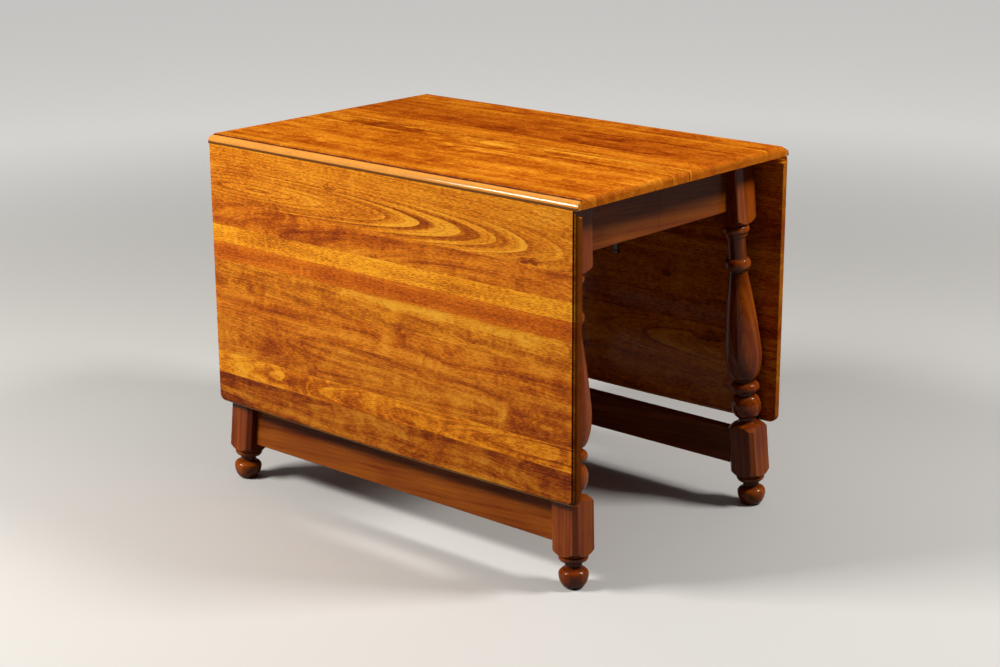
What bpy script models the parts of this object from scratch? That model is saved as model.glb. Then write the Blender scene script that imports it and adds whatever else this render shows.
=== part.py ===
# Drop-leaf extension table: two half tables that pull apart on wooden slides, each with
# a hinged leaf on a rule joint, two splayed turned legs, aprons and a stretcher.
# Metres, +Z up. X runs along the hinge lines, Y from the front half to the rear half.
# The origin is on the floor, under the middle of the closed top.
import math

import bmesh
import bpy
from mathutils import Matrix, Vector

# Whole table
TABLE_HEIGHT = 0.762
TOP_LENGTH = 1.000
HINGE_Y = 0.319
BOARD_THICKNESS = 0.0205
TOP_END_ROUND = 0.0075
SEAM_GAP = 0.0006
FIT_GAP = 0.0003
WELD = 0.00001

# Rule joint between a top half and its leaf, turning about the hinge pin
JOINT_FILLET = 0.0035
PIN_ABOVE_UNDERSIDE = 0.0025
JOINT_CLEARANCE = 0.0004
JOINT_STEPS = 9

# Leaves
LEAF_END_SETBACK = 0.0005
LEAF_LAP_OVER_BLOCK = 0.0065
LEAF_CORNER_RADIUS = 0.016
LEAF_BOW = 0.005
LEAF_EDGE_ROUND = 0.0065

# Legs: splay, place and square blocks
LEG_SPLAY_X = math.radians(3.8)
LEG_SPLAY_Y = math.radians(3.0)
FOOT_END_INSET = 0.0357
LEG_TO_LEAF_GAP = 0.0018
BLOCK_SIZE = 0.064
UPPER_BLOCK_EASE = 0.003
LOWER_BLOCK_CHAMFER = 0.008

# Legs: heights of the turned stages, from the floor up; the vase takes what is left
FOOT_HEIGHT = 0.0485
ANKLE_HEIGHT = 0.005
COLLAR_HEIGHT = 0.007
LOWER_BLOCK_HEIGHT = 0.1245
LOWER_BLOCK_UNDERCUT = 0.0205
LOWER_BLOCK_SHOULDER = 0.024
BALL_NECK_HEIGHT = 0.008
BALL_HEIGHT = 0.048
RING_NECK_HEIGHT = 0.0055
LOWER_RING_HEIGHT = 0.023
VASE_NECK_HEIGHT = 0.004
UPPER_RING_NECK_HEIGHT = 0.003
UPPER_RING_HEIGHT = 0.0245
THROAT_HEIGHT = 0.046
FILLET_HEIGHT = 0.0065
BEAD_HEIGHT = 0.0165
UPPER_BLOCK_HEIGHT = 0.1415
UPPER_BLOCK_UNDERCUT = 0.024

# Legs: diameters of the turned stages
FOOT_DIAMETER = 0.0585
ANKLE_DIAMETER = 0.0305
COLLAR_DIAMETER = 0.058
BALL_DIAMETER = 0.0606
NECK_DIAMETER = 0.0355
LOWER_RING_DIAMETER = 0.0594
BELLY_DIAMETER = 0.0765
VASE_TOP_DIAMETER = 0.037
UPPER_RING_DIAMETER = 0.0536
THROAT_DIAMETER = 0.0386
FILLET_DIAMETER = 0.0456
BEAD_DIAMETER = 0.0556
TURNING_STEPS = 12

# Aprons, stretchers and corner braces
APRON_THICKNESS = 0.022
APRON_DEPTH = 0.1075
STRETCHER_THICKNESS = 0.022
STRETCHER_DEPTH = 0.078
STRETCHER_ABOVE_BLOCK_BASE = 0.0225
BRACE_THICKNESS = 0.020
BRACE_LEG_GAP = 0.012
BRACE_ABOVE_APRON_EDGE = 0.022
EDGE_EASE = 0.002

# Drop-leaf hinges: one at the middle of each half, and one beside each leg
HINGE_LEG_GAP = 0.018
HINGE_WIDTH = 0.050
HINGE_CENTRE_KNUCKLE = 0.018
HINGE_PLATE = 0.002
HINGE_TOP_FLAP = 0.036
HINGE_LEAF_FLAP = 0.072
KNUCKLE_RADIUS = 0.004
HINGE_PIN_RADIUS = 0.0021
KNUCKLE_ROOT = 0.008
POCKET_CLEARANCE = 0.0012
ROUND_SIDES = 12

# Places along the top, as shares of its length from the middle
STAY_SHARE = 0.10
SLIDE_SHARE = 0.22
DOWEL_SHARE = 0.32

# Leaf stays, folded down between a leaf and its side apron
STAY_LENGTH = 0.210
STAY_PIVOT_BELOW_PIN = 0.044
STAY_PIVOT_OUT = 0.0145
STAY_WIDTH = 0.012
STAY_BAR = 0.005
STAY_EYE_RADIUS = 0.007
STAY_PIN_RADIUS = 0.003
STAY_TIP_RADIUS = 0.0045
STAY_LUG = 0.003
STAY_LUG_REACH = 0.008
STAY_PLATE_HEIGHT = 0.060

# Extension slides under the top: a rail on each half and a middle rail between them
RAIL_WIDTH = 0.024
RAIL_DEPTH = 0.038
RAIL_END_GAP = 0.012
RAIL_GAP = 0.0006
TONGUE_HEIGHT = 0.012
TONGUE_REACH = 0.008
MIDDLE_RAIL_DROP = 0.001
TIE_CLEARANCE = 0.003
TIE_WIDTH = 0.045
TIE_THICKNESS = 0.015

# Alignment dowels across the seam
DOWEL_RADIUS = 0.0048
DOWEL_LENGTH = 0.044

# Values that follow from the driving dimensions
UNDERSIDE_Z = TABLE_HEIGHT - BOARD_THICKNESS
PIN_Z = UNDERSIDE_Z + PIN_ABOVE_UNDERSIDE
JOINT_RADIUS = BOARD_THICKNESS - JOINT_FILLET - PIN_ABOVE_UNDERSIDE
LEAF_INNER_Y = HINGE_Y - PIN_ABOVE_UNDERSIDE
LEAF_OUTER_Y = LEAF_INNER_Y + BOARD_THICKNESS
LEG_RISE = Vector((-math.tan(LEG_SPLAY_X), -math.tan(LEG_SPLAY_Y), 1.0))
LEG_AXIS_LENGTH = UNDERSIDE_Z * LEG_RISE.length
BLOCK_BASE = FOOT_HEIGHT + ANKLE_HEIGHT + COLLAR_HEIGHT
BLOCK_TOP = BLOCK_BASE + LOWER_BLOCK_HEIGHT
VASE_BASE = (BLOCK_TOP + BALL_NECK_HEIGHT + BALL_HEIGHT + RING_NECK_HEIGHT
             + LOWER_RING_HEIGHT + VASE_NECK_HEIGHT)
VASE_TOP = (LEG_AXIS_LENGTH - UPPER_BLOCK_HEIGHT - BEAD_HEIGHT - FILLET_HEIGHT - THROAT_HEIGHT
            - UPPER_RING_HEIGHT - UPPER_RING_NECK_HEIGHT)
BELLY_HEIGHT = VASE_BASE + 0.27 * (VASE_TOP - VASE_BASE)
FOOT_X = TOP_LENGTH / 2 - FOOT_END_INSET
FOOT_Y = LEAF_INNER_Y - LEG_TO_LEAF_GAP - BELLY_DIAMETER / 2 - LEG_RISE.y * BELLY_HEIGHT
LEAF_BOTTOM_Z = BLOCK_TOP - LEAF_LAP_OVER_BLOCK
APRON_BOTTOM_Z = UNDERSIDE_Z - APRON_DEPTH
APRON_MIDDLE_Z = UNDERSIDE_Z - APRON_DEPTH / 2
APRON_X = FOOT_X + LEG_RISE.x * APRON_MIDDLE_Z
APRON_Y = FOOT_Y + LEG_RISE.y * APRON_MIDDLE_Z
OUTER_HINGE_X = FOOT_X + LEG_RISE.x * UNDERSIDE_Z - BLOCK_SIZE / 2 - HINGE_LEG_GAP - HINGE_WIDTH / 2
STAY_X = STAY_SHARE * TOP_LENGTH
SLIDE_X = SLIDE_SHARE * TOP_LENGTH
DOWEL_X = DOWEL_SHARE * TOP_LENGTH
RAIL_HALF_LENGTH = APRON_Y - APRON_THICKNESS / 2 - RAIL_END_GAP
RAIL_PITCH = RAIL_WIDTH + RAIL_GAP
STAY_PIVOT_Y = APRON_Y + APRON_THICKNESS / 2 + STAY_PIVOT_OUT
STAY_PIVOT_Z = PIN_Z - STAY_PIVOT_BELOW_PIN

# Looks: colour, roughness and metallic value
AMBER_BOARD = ((0.42, 0.155, 0.036), 0.32, 0.0)
RED_TURNING = ((0.20, 0.060, 0.020), 0.34, 0.0)
BROWN_FRAME = ((0.24, 0.080, 0.024), 0.38, 0.0)
PLAIN_WOOD = ((0.36, 0.20, 0.085), 0.60, 0.0)
DARK_STEEL = ((0.20, 0.185, 0.165), 0.42, 1.0)

HALVES = (("rear", 1), ("front", -1))
ENDS = (("right", 1), ("left", -1))

for old in list(bpy.data.objects):
    bpy.data.objects.remove(old, do_unlink=True)

table = bpy.data.collections.new("drop_leaf_extension_table")
cutters = bpy.data.collections.new("cutters")
bpy.context.scene.collection.children.link(table)
bpy.context.scene.collection.children.link(cutters)


def add_object(name, mesh, look=None):
    """Link a mesh as a part with its own material, or as a cutter when it has no look."""
    piece = bpy.data.objects.new(name, mesh)
    if look is None:
        cutters.objects.link(piece)
        piece.hide_render = True
        piece.display_type = "WIRE"
        return piece
    table.objects.link(piece)
    colour, roughness, metallic = look
    finish = bpy.data.materials.new(name)
    finish.use_nodes = True
    shader = finish.node_tree.nodes["Principled BSDF"]
    shader.inputs["Base Color"].default_value = (*colour, 1.0)
    shader.inputs["Roughness"].default_value = roughness
    shader.inputs["Metallic"].default_value = metallic
    piece.data.materials.clear()
    piece.data.materials.append(finish)
    return piece


def mesh_of(name, form):
    """Turn a bmesh into a mesh with its faces pointing out."""
    bmesh.ops.recalc_face_normals(form, faces=form.faces)
    mesh = bpy.data.meshes.new(name)
    form.to_mesh(mesh)
    form.free()
    return mesh


def box(name, low, high, look=None):
    """A box between two corners."""
    low = Vector(low)
    high = Vector(high)
    form = bmesh.new()
    place = Matrix.Translation((low + high) / 2) @ Matrix.Diagonal((*(high - low), 1.0))
    bmesh.ops.create_cube(form, size=1.0, matrix=place)
    return add_object(name, mesh_of(name, form), look)


def rod(name, centre, direction, length, radius, look=None, sides=ROUND_SIDES):
    """A round bar about a centre, along a direction."""
    form = bmesh.new()
    turn = Vector((0, 0, 1)).rotation_difference(Vector(direction)).to_matrix().to_4x4()
    place = Matrix.Translation(centre) @ turn
    bmesh.ops.create_cone(form, cap_ends=True, segments=sides, radius1=radius, radius2=radius,
                          depth=length, matrix=place)
    mesh = mesh_of(name, form)
    mesh.shade_smooth()
    mesh.set_sharp_from_angle(angle=math.radians(40))
    return add_object(name, mesh, look)


def prism(name, outline, plane, low, high, look=None):
    """A flat outline in the XY, XZ or YZ plane, drawn out between two places on the third axis."""
    curve = bpy.data.curves.new(name, "CURVE")
    curve.dimensions = "2D"
    curve.fill_mode = "BOTH"
    curve.extrude = abs(high - low) / 2
    spline = curve.splines.new("POLY")
    spline.points.add(len(outline) - 1)
    for point, (u, v) in zip(spline.points, outline):
        point.co = (u, v, 0.0, 1.0)
    spline.use_cyclic_u = True
    guide = bpy.data.objects.new(name + "_outline", curve)
    cutters.objects.link(guide)
    depsgraph = bpy.context.evaluated_depsgraph_get()
    mesh = bpy.data.meshes.new_from_object(guide.evaluated_get(depsgraph))
    bpy.data.objects.remove(guide)
    columns = {"XY": ((1, 0, 0), (0, 1, 0), (0, 0, 1)),
               "XZ": ((1, 0, 0), (0, 0, 1), (0, -1, 0)),
               "YZ": ((0, 1, 0), (0, 0, 1), (1, 0, 0))}[plane]
    turn = Matrix(columns).transposed().to_4x4()
    middle = Vector([abs(part) for part in columns[2]]) * (low + high) / 2
    form = bmesh.new()
    form.from_mesh(mesh)
    bpy.data.meshes.remove(mesh)
    bmesh.ops.remove_doubles(form, verts=form.verts, dist=WELD)
    bmesh.ops.transform(form, matrix=Matrix.Translation(middle) @ turn, verts=form.verts)
    return add_object(name, mesh_of(name, form), look)


def combine(piece, tool, operation):
    """Cut a piece with a tool, or join or trim it, by a Boolean modifier."""
    change = piece.modifiers.new(tool.name, "BOOLEAN")
    change.object = tool
    change.operation = operation


def ease(piece, width, segments=2):
    """Round the sharp edges of a piece."""
    bevel = piece.modifiers.new("eased edges", "BEVEL")
    bevel.width = width
    bevel.segments = segments
    bevel.limit_method = "ANGLE"
    bevel.angle_limit = math.radians(40)


def arc(centre, radius, start, end, steps):
    """Points on an arc, both ends included."""
    angles = [start + (end - start) * step / steps for step in range(steps + 1)]
    return [(centre[0] + radius * math.cos(angle), centre[1] + radius * math.sin(angle))
            for angle in angles]


def joint_empty(name, place):
    """An empty on a joint's axis, which the moving pieces hang from."""
    empty = bpy.data.objects.new(name, None)
    empty.location = place
    table.objects.link(empty)
    return empty


def hang(piece, empty):
    """Parent a piece to a joint's empty without moving it."""
    piece.parent = empty
    piece.matrix_parent_inverse = Matrix.Translation(empty.location).inverted()


def bulge(low, high, edge_radius, full_radius, steps):
    """Profile points of a turned bead, from its lower edge to its upper edge."""
    points = []
    for step in range(steps + 1):
        turn = math.pi * step / steps
        radius = edge_radius + (full_radius - edge_radius) * math.sin(turn)
        points.append((radius, (low + high) / 2 - (high - low) / 2 * math.cos(turn)))
    return points


def leg_profile():
    """Radius and height of the turned leg, from under the foot to above the top block."""
    block = 0.75 * BLOCK_SIZE
    neck = NECK_DIAMETER / 2
    foot = FOOT_DIAMETER / 2
    foot_middle = 0.92 * foot
    shoulder_angle = math.asin((FOOT_HEIGHT - foot_middle) / foot)
    points = arc((0.0, foot_middle), foot, -math.pi / 2, shoulder_angle, 7)
    level = FOOT_HEIGHT
    points.append((ANKLE_DIAMETER / 2, level))
    level += ANKLE_HEIGHT
    points.append((ANKLE_DIAMETER / 2, level))
    points += bulge(level, level + COLLAR_HEIGHT, COLLAR_DIAMETER / 2 - 0.002, COLLAR_DIAMETER / 2, 3)
    points.append((block, BLOCK_BASE + LOWER_BLOCK_UNDERCUT))
    points.append((block, BLOCK_TOP - LOWER_BLOCK_SHOULDER))
    points.append((neck, BLOCK_TOP))
    level = BLOCK_TOP + BALL_NECK_HEIGHT
    points += bulge(level, level + BALL_HEIGHT, neck, BALL_DIAMETER / 2, 6)
    level += BALL_HEIGHT + RING_NECK_HEIGHT
    points += bulge(level, level + LOWER_RING_HEIGHT, neck, LOWER_RING_DIAMETER / 2, 5)
    points += vase(neck)
    level = VASE_TOP + UPPER_RING_NECK_HEIGHT
    points += bulge(level, level + UPPER_RING_HEIGHT, THROAT_DIAMETER / 2, UPPER_RING_DIAMETER / 2, 5)
    level += UPPER_RING_HEIGHT + THROAT_HEIGHT
    points.append((THROAT_DIAMETER / 2, level))
    points.append((FILLET_DIAMETER / 2, level))
    level += FILLET_HEIGHT
    points += bulge(level, level + BEAD_HEIGHT, FILLET_DIAMETER / 2, BEAD_DIAMETER / 2, 4)
    level += BEAD_HEIGHT
    points.append((block, level + UPPER_BLOCK_UNDERCUT))
    points.append((block, LEG_AXIS_LENGTH + BLOCK_SIZE / 2))
    points.append((0.0, LEG_AXIS_LENGTH + BLOCK_SIZE / 2))
    return points


def vase(neck):
    """Profile points of the vase: a round base, a full belly and a long taper."""
    belly = BELLY_DIAMETER / 2
    points = []
    for step in range(5):
        turn = math.pi / 2 * step / 5
        height = BELLY_HEIGHT - (BELLY_HEIGHT - VASE_BASE) * math.cos(turn)
        points.append((neck + (belly - neck) * math.sin(turn), height))
    for step in range(7):
        share = 1.0 - step / 6
        swell = (share + math.sin(share * math.pi / 2)) / 2
        radius = VASE_TOP_DIAMETER / 2 + (belly - VASE_TOP_DIAMETER / 2) * swell
        points.append((radius, VASE_TOP - share * (VASE_TOP - BELLY_HEIGHT)))
    return points


def square_collar(name, low, high, chamfer):
    """A cutter that leaves a square block standing: a thick collar with a square hole."""
    reach = BLOCK_SIZE
    collar = box(name, (-reach, -reach, low), (reach, reach, high))
    half = BLOCK_SIZE / 2
    flat = half - chamfer
    hole = [(half, -flat), (half, flat), (flat, half), (-flat, half),
            (-half, flat), (-half, -flat), (-flat, -half), (flat, -half)]
    combine(collar, prism(name + "_hole", hole, "XY", low - 0.01, high + 0.01), "DIFFERENCE")
    return collar


def leg_blank():
    """The turned and squared leg on an upright axis, before it is trimmed to length."""
    profile = list(reversed(leg_profile()))
    form = bmesh.new()
    corners = [form.verts.new((radius, 0.0, height)) for radius, height in profile]
    for upper, lower in zip(corners, corners[1:]):
        form.edges.new((upper, lower))
    mesh = bpy.data.meshes.new("leg_blank")
    form.to_mesh(mesh)
    form.free()
    blank = add_object("leg_blank", mesh)
    screw = blank.modifiers.new("turning", "SCREW")
    screw.steps = TURNING_STEPS
    screw.render_steps = TURNING_STEPS
    screw.use_merge_vertices = True
    screw.merge_threshold = WELD
    lower = square_collar("lower_block_collar", BLOCK_BASE, BLOCK_TOP, LOWER_BLOCK_CHAMFER)
    upper = square_collar("upper_block_collar", LEG_AXIS_LENGTH - UPPER_BLOCK_HEIGHT,
                          LEG_AXIS_LENGTH + BLOCK_SIZE, UPPER_BLOCK_EASE)
    combine(blank, lower, "DIFFERENCE")
    combine(blank, upper, "DIFFERENCE")
    depsgraph = bpy.context.evaluated_depsgraph_get()
    turned = bpy.data.meshes.new_from_object(blank.evaluated_get(depsgraph))
    turned.shade_smooth()
    turned.set_sharp_from_angle(angle=math.radians(40))
    return turned


def leg_place(side, end):
    """Where a leg stands and how it leans: its axis rises inwards both ways."""
    rise = Vector((end * LEG_RISE.x, side * LEG_RISE.y, 1.0)).normalized()
    across = Vector((rise.z, 0.0, -rise.x)).normalized()
    along = rise.cross(across)
    turn = Matrix((across, along, rise)).transposed().to_4x4()
    return Matrix.Translation((end * FOOT_X, side * FOOT_Y, 0.0)) @ turn


def leg(name, side, end, blank, trim):
    """One leg, cut level at the floor and under the top."""
    piece = add_object(name, blank.copy(), RED_TURNING)
    piece.matrix_world = leg_place(side, end)
    combine(piece, trim, "INTERSECT")
    return piece


def leg_housing(name, side, end):
    """A cutter the size of a leg's square blocks, that fits rails to the leg's faces."""
    half = BLOCK_SIZE / 2 + FIT_GAP
    housing = box(name, (-half, -half, -half), (half, half, LEG_AXIS_LENGTH + half))
    housing.matrix_world = leg_place(side, end)
    return housing


def top_half(half, side, ends_round):
    """Half of the top, with the convex side of the rule joint along its outer edge."""
    outline = [(SEAM_GAP / 2, UNDERSIDE_Z), (SEAM_GAP / 2, TABLE_HEIGHT), (HINGE_Y, TABLE_HEIGHT)]
    nose_end = -math.asin(PIN_ABOVE_UNDERSIDE / JOINT_RADIUS)
    outline += arc((HINGE_Y, PIN_Z), JOINT_RADIUS, math.pi / 2, nose_end, JOINT_STEPS)
    outline = [(side * y, z) for y, z in outline]
    board = prism(half + "_top", outline, "YZ", -TOP_LENGTH / 2, TOP_LENGTH / 2, AMBER_BOARD)
    combine(board, ends_round, "INTERSECT")
    return board


def rounded_ends():
    """The top's long section, with rounded ends, drawn out across the whole width."""
    reach = TOP_LENGTH / 2 - TOP_END_ROUND
    low = UNDERSIDE_Z + TOP_END_ROUND
    high = TABLE_HEIGHT - TOP_END_ROUND
    quarter = math.pi / 2
    outline = arc((reach, high), TOP_END_ROUND, 0, quarter, 5)
    outline += arc((-reach, high), TOP_END_ROUND, quarter, 2 * quarter, 5)
    outline += arc((-reach, low), TOP_END_ROUND, 2 * quarter, 3 * quarter, 5)
    outline += arc((reach, low), TOP_END_ROUND, 3 * quarter, 4 * quarter, 5)
    return prism("top_long_section", outline, "XZ", -2 * HINGE_Y, 2 * HINGE_Y)


def leaf(half, side):
    """A hanging leaf: rounded lower corners, a bowed lower edge and the hollow of the rule joint."""
    reach = TOP_LENGTH / 2 - LEAF_END_SETBACK
    corner = reach - LEAF_CORNER_RADIUS
    corner_z = LEAF_BOTTOM_Z + LEAF_CORNER_RADIUS
    above = PIN_Z + BOARD_THICKNESS
    quarter = math.pi / 2
    outline = [(reach, above), (-reach, above)]
    outline += arc((-corner, corner_z), LEAF_CORNER_RADIUS, 2 * quarter, 3 * quarter, 6)
    for step in range(1, 8):
        share = step / 4 - 1.0
        outline.append((corner * share, LEAF_BOTTOM_Z - LEAF_BOW * (1.0 - share * share)))
    outline += arc((corner, corner_z), LEAF_CORNER_RADIUS, 3 * quarter, 4 * quarter, 6)
    board = prism(half + "_leaf", outline, "XZ", side * LEAF_INNER_Y, side * LEAF_OUTER_Y, AMBER_BOARD)
    ease(board, LEAF_EDGE_ROUND, 3)
    line = side * HINGE_Y
    above_pin = box(half + "_leaf_top_cut", (-TOP_LENGTH, line - HINGE_Y / 2, PIN_Z - JOINT_CLEARANCE),
                    (TOP_LENGTH, line + HINGE_Y / 2, PIN_Z + 2 * BOARD_THICKNESS))
    hollow = rod(half + "_leaf_hollow", (0.0, line, PIN_Z), (1, 0, 0), 2 * TOP_LENGTH,
                 JOINT_RADIUS + JOINT_CLEARANCE, sides=48)
    combine(board, above_pin, "DIFFERENCE")
    combine(board, hollow, "DIFFERENCE")
    return board


def hinge_pocket(name, side, x):
    """The recess under the top that takes a hinge's knuckle."""
    reach = KNUCKLE_RADIUS + HINGE_PLATE
    inner = side * (HINGE_Y - reach - POCKET_CLEARANCE)
    outer = side * (HINGE_Y + KNUCKLE_RADIUS + POCKET_CLEARANCE)
    half_width = HINGE_WIDTH / 2 + POCKET_CLEARANCE
    return box(name, (x - half_width, min(inner, outer), UNDERSIDE_Z - BOARD_THICKNESS),
               (x + half_width, max(inner, outer), PIN_Z + KNUCKLE_RADIUS + POCKET_CLEARANCE))


def hinge_top_flap(name, side, x):
    """The short flap screwed under the top, with the two outer knuckles."""
    half_width = HINGE_WIDTH / 2
    notch = HINGE_CENTRE_KNUCKLE / 2
    back = side * (HINGE_Y - HINGE_TOP_FLAP)
    root = side * (HINGE_Y - KNUCKLE_ROOT)
    line = side * HINGE_Y
    outline = [(x - half_width, back), (x + half_width, back), (x + half_width, line), (x + notch, line),
               (x + notch, root), (x - notch, root), (x - notch, line), (x - half_width, line)]
    upper = UNDERSIDE_Z - FIT_GAP
    flap = prism(name, outline, "XY", upper - HINGE_PLATE, upper, DARK_STEEL)
    length = half_width - notch
    for hand in (1, -1):
        centre = (x + hand * (half_width + notch) / 2, side * HINGE_Y, PIN_Z)
        knuckle = rod(name + "_knuckle_" + str(hand), centre, (1, 0, 0), length, KNUCKLE_RADIUS)
        combine(flap, knuckle, "UNION")
    return flap


def hinge_leaf_flap(name, side, x):
    """The long flap screwed to the leaf's inner face, with the centre knuckle."""
    half_width = HINGE_WIDTH / 2
    tongue = HINGE_CENTRE_KNUCKLE / 2 - FIT_GAP
    root = PIN_Z - KNUCKLE_ROOT
    foot = PIN_Z - HINGE_LEAF_FLAP
    outline = [(x - tongue, PIN_Z), (x - tongue, root), (x - half_width, root), (x - half_width, foot),
               (x + half_width, foot), (x + half_width, root), (x + tongue, root), (x + tongue, PIN_Z)]
    face = LEAF_INNER_Y - FIT_GAP
    flap = prism(name, outline, "XZ", side * (face - HINGE_PLATE), side * face, DARK_STEEL)
    knuckle = rod(name + "_knuckle", (x, side * HINGE_Y, PIN_Z), (1, 0, 0), 2 * tongue, KNUCKLE_RADIUS)
    combine(flap, knuckle, "UNION")
    return flap


def hinge(half, side, place, x, board, leaf_empty):
    """One drop-leaf hinge: a flap on each board and the pin through their knuckles."""
    name = half + "_hinge_" + place
    centre = (x, side * HINGE_Y, PIN_Z)
    combine(board, hinge_pocket(name + "_pocket", side, x), "DIFFERENCE")
    bore = rod(name + "_bore", centre, (1, 0, 0), 2 * HINGE_WIDTH, HINGE_PIN_RADIUS + FIT_GAP)
    top_flap = hinge_top_flap(name + "_top_flap", side, x)
    leaf_flap = hinge_leaf_flap(name + "_leaf_flap", side, x)
    combine(top_flap, bore, "DIFFERENCE")
    combine(leaf_flap, bore, "DIFFERENCE")
    pin = rod(name + "_pin", centre, (1, 0, 0), HINGE_WIDTH, HINGE_PIN_RADIUS, DARK_STEEL)
    hang(leaf_flap, leaf_empty)
    return top_flap, pin


def side_apron(half, side, housings):
    """The apron between the two legs of one half, along the hinge line."""
    inner = side * (APRON_Y - APRON_THICKNESS / 2)
    outer = side * (APRON_Y + APRON_THICKNESS / 2)
    rail = box(half + "_side_apron", (-APRON_X, min(inner, outer), APRON_BOTTOM_Z),
               (APRON_X, max(inner, outer), UNDERSIDE_Z - FIT_GAP), BROWN_FRAME)
    ease(rail, EDGE_EASE)
    for housing in housings.values():
        combine(rail, housing, "DIFFERENCE")
    return rail


def end_apron(half, side, hand, end, housing):
    """Half of an end apron, from the seam to a leg."""
    inner = end * (APRON_X - APRON_THICKNESS / 2)
    outer = end * (APRON_X + APRON_THICKNESS / 2)
    seam = side * SEAM_GAP / 2
    rail = box(half + "_end_apron_" + hand, (min(inner, outer), min(seam, side * APRON_Y), APRON_BOTTOM_Z),
               (max(inner, outer), max(seam, side * APRON_Y), UNDERSIDE_Z - FIT_GAP), BROWN_FRAME)
    ease(rail, EDGE_EASE)
    combine(rail, housing, "DIFFERENCE")
    return rail


def stretcher(half, side, housings):
    """The low rail between the two legs of one half, leaning as the legs do."""
    middle_z = BLOCK_BASE + STRETCHER_ABOVE_BLOCK_BASE + STRETCHER_DEPTH / 2
    reach = FOOT_X + LEG_RISE.x * middle_z
    half_span = Vector((reach, STRETCHER_THICKNESS / 2, STRETCHER_DEPTH / 2))
    rail = box(half + "_stretcher", -half_span, half_span, BROWN_FRAME)
    rail.location = (0.0, side * (FOOT_Y + LEG_RISE.y * middle_z), middle_z)
    rail.rotation_euler = (side * LEG_SPLAY_Y, 0.0, 0.0)
    ease(rail, EDGE_EASE)
    for housing in housings.values():
        combine(rail, housing, "DIFFERENCE")
    return rail


def corner_brace(half, side, hand, end):
    """A diagonal brace inside a corner, between the side apron and the end apron."""
    x = APRON_X - APRON_THICKNESS / 2 - FIT_GAP
    y = APRON_Y - APRON_THICKNESS / 2 - FIT_GAP
    near = BLOCK_SIZE - APRON_THICKNESS + BRACE_LEG_GAP
    far = near + BRACE_THICKNESS * math.sqrt(2)
    outline = [(x - near, y), (x, y - near), (x, y - far), (x - far, y)]
    outline = [(end * u, side * v) for u, v in outline]
    low = APRON_BOTTOM_Z + BRACE_ABOVE_APRON_EDGE
    return prism(half + "_corner_brace_" + hand, outline, "XY", low, UNDERSIDE_Z - FIT_GAP, PLAIN_WOOD)


def grooved_rail(name, centre_x, groove_side):
    """A fixed slide rail under one half of the top, with a groove on the side of the middle rail."""
    upper = UNDERSIDE_Z - FIT_GAP
    lower = upper - RAIL_DEPTH
    middle = upper - RAIL_DEPTH / 2
    back = centre_x - groove_side * RAIL_WIDTH / 2
    face = centre_x + groove_side * RAIL_WIDTH / 2
    floor = face - groove_side * (TONGUE_REACH + FIT_GAP)
    groove = TONGUE_HEIGHT / 2 + FIT_GAP
    outline = [(back, lower), (face, lower), (face, middle - groove), (floor, middle - groove),
               (floor, middle + groove), (face, middle + groove), (face, upper), (back, upper)]
    return prism(name, outline, "XZ", -RAIL_HALF_LENGTH, RAIL_HALF_LENGTH, PLAIN_WOOD)


def middle_rail(name, centre_x):
    """A middle slide rail, with a tongue along each side."""
    upper = UNDERSIDE_Z - FIT_GAP - MIDDLE_RAIL_DROP
    lower = UNDERSIDE_Z - FIT_GAP - RAIL_DEPTH - TIE_CLEARANCE
    middle = UNDERSIDE_Z - FIT_GAP - RAIL_DEPTH / 2
    half = RAIL_WIDTH / 2
    reach = half + RAIL_GAP + TONGUE_REACH - FIT_GAP
    tongue = TONGUE_HEIGHT / 2
    right = [(half, lower), (half, middle - tongue), (reach, middle - tongue),
             (reach, middle + tongue), (half, middle + tongue), (half, upper)]
    left = [(-u, v) for u, v in reversed(right)]
    outline = [(centre_x + u, v) for u, v in right + left]
    return prism(name, outline, "XZ", -RAIL_HALF_LENGTH, RAIL_HALF_LENGTH, PLAIN_WOOD)


def slides(front_empty, middle_empty):
    """Both sets of extension slides, and the bar that ties the middle rails."""
    for hand, end in ENDS:
        centre = end * SLIDE_X
        grooved_rail("rear_slide_rail_" + hand, centre - end * RAIL_PITCH, end)
        front = grooved_rail("front_slide_rail_" + hand, centre + end * RAIL_PITCH, -end)
        hang(front, front_empty)
        hang(middle_rail("middle_slide_rail_" + hand, centre), middle_empty)
    upper = UNDERSIDE_Z - RAIL_DEPTH - TIE_CLEARANCE - 2 * FIT_GAP
    reach = SLIDE_X + RAIL_WIDTH / 2
    tie = box("slide_tie_bar", (-reach, -TIE_WIDTH / 2, upper - TIE_THICKNESS),
              (reach, TIE_WIDTH / 2, upper), PLAIN_WOOD)
    ease(tie, EDGE_EASE)
    hang(tie, middle_empty)


def seam_dowels(boards, front_empty):
    """Dowels in the front half's edge that enter the rear half's edge when the seam closes."""
    height = TABLE_HEIGHT - BOARD_THICKNESS / 2
    for number in range(3):
        centre = ((number - 1) * DOWEL_X, 0.0, height)
        name = "seam_dowel_" + str(number + 1)
        bore = rod(name + "_bore", centre, (0, 1, 0), DOWEL_LENGTH + 2 * FIT_GAP, DOWEL_RADIUS + FIT_GAP)
        for board in boards.values():
            combine(board, bore, "DIFFERENCE")
        hang(rod(name, centre, (0, 1, 0), DOWEL_LENGTH, DOWEL_RADIUS, PLAIN_WOOD), front_empty)


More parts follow.
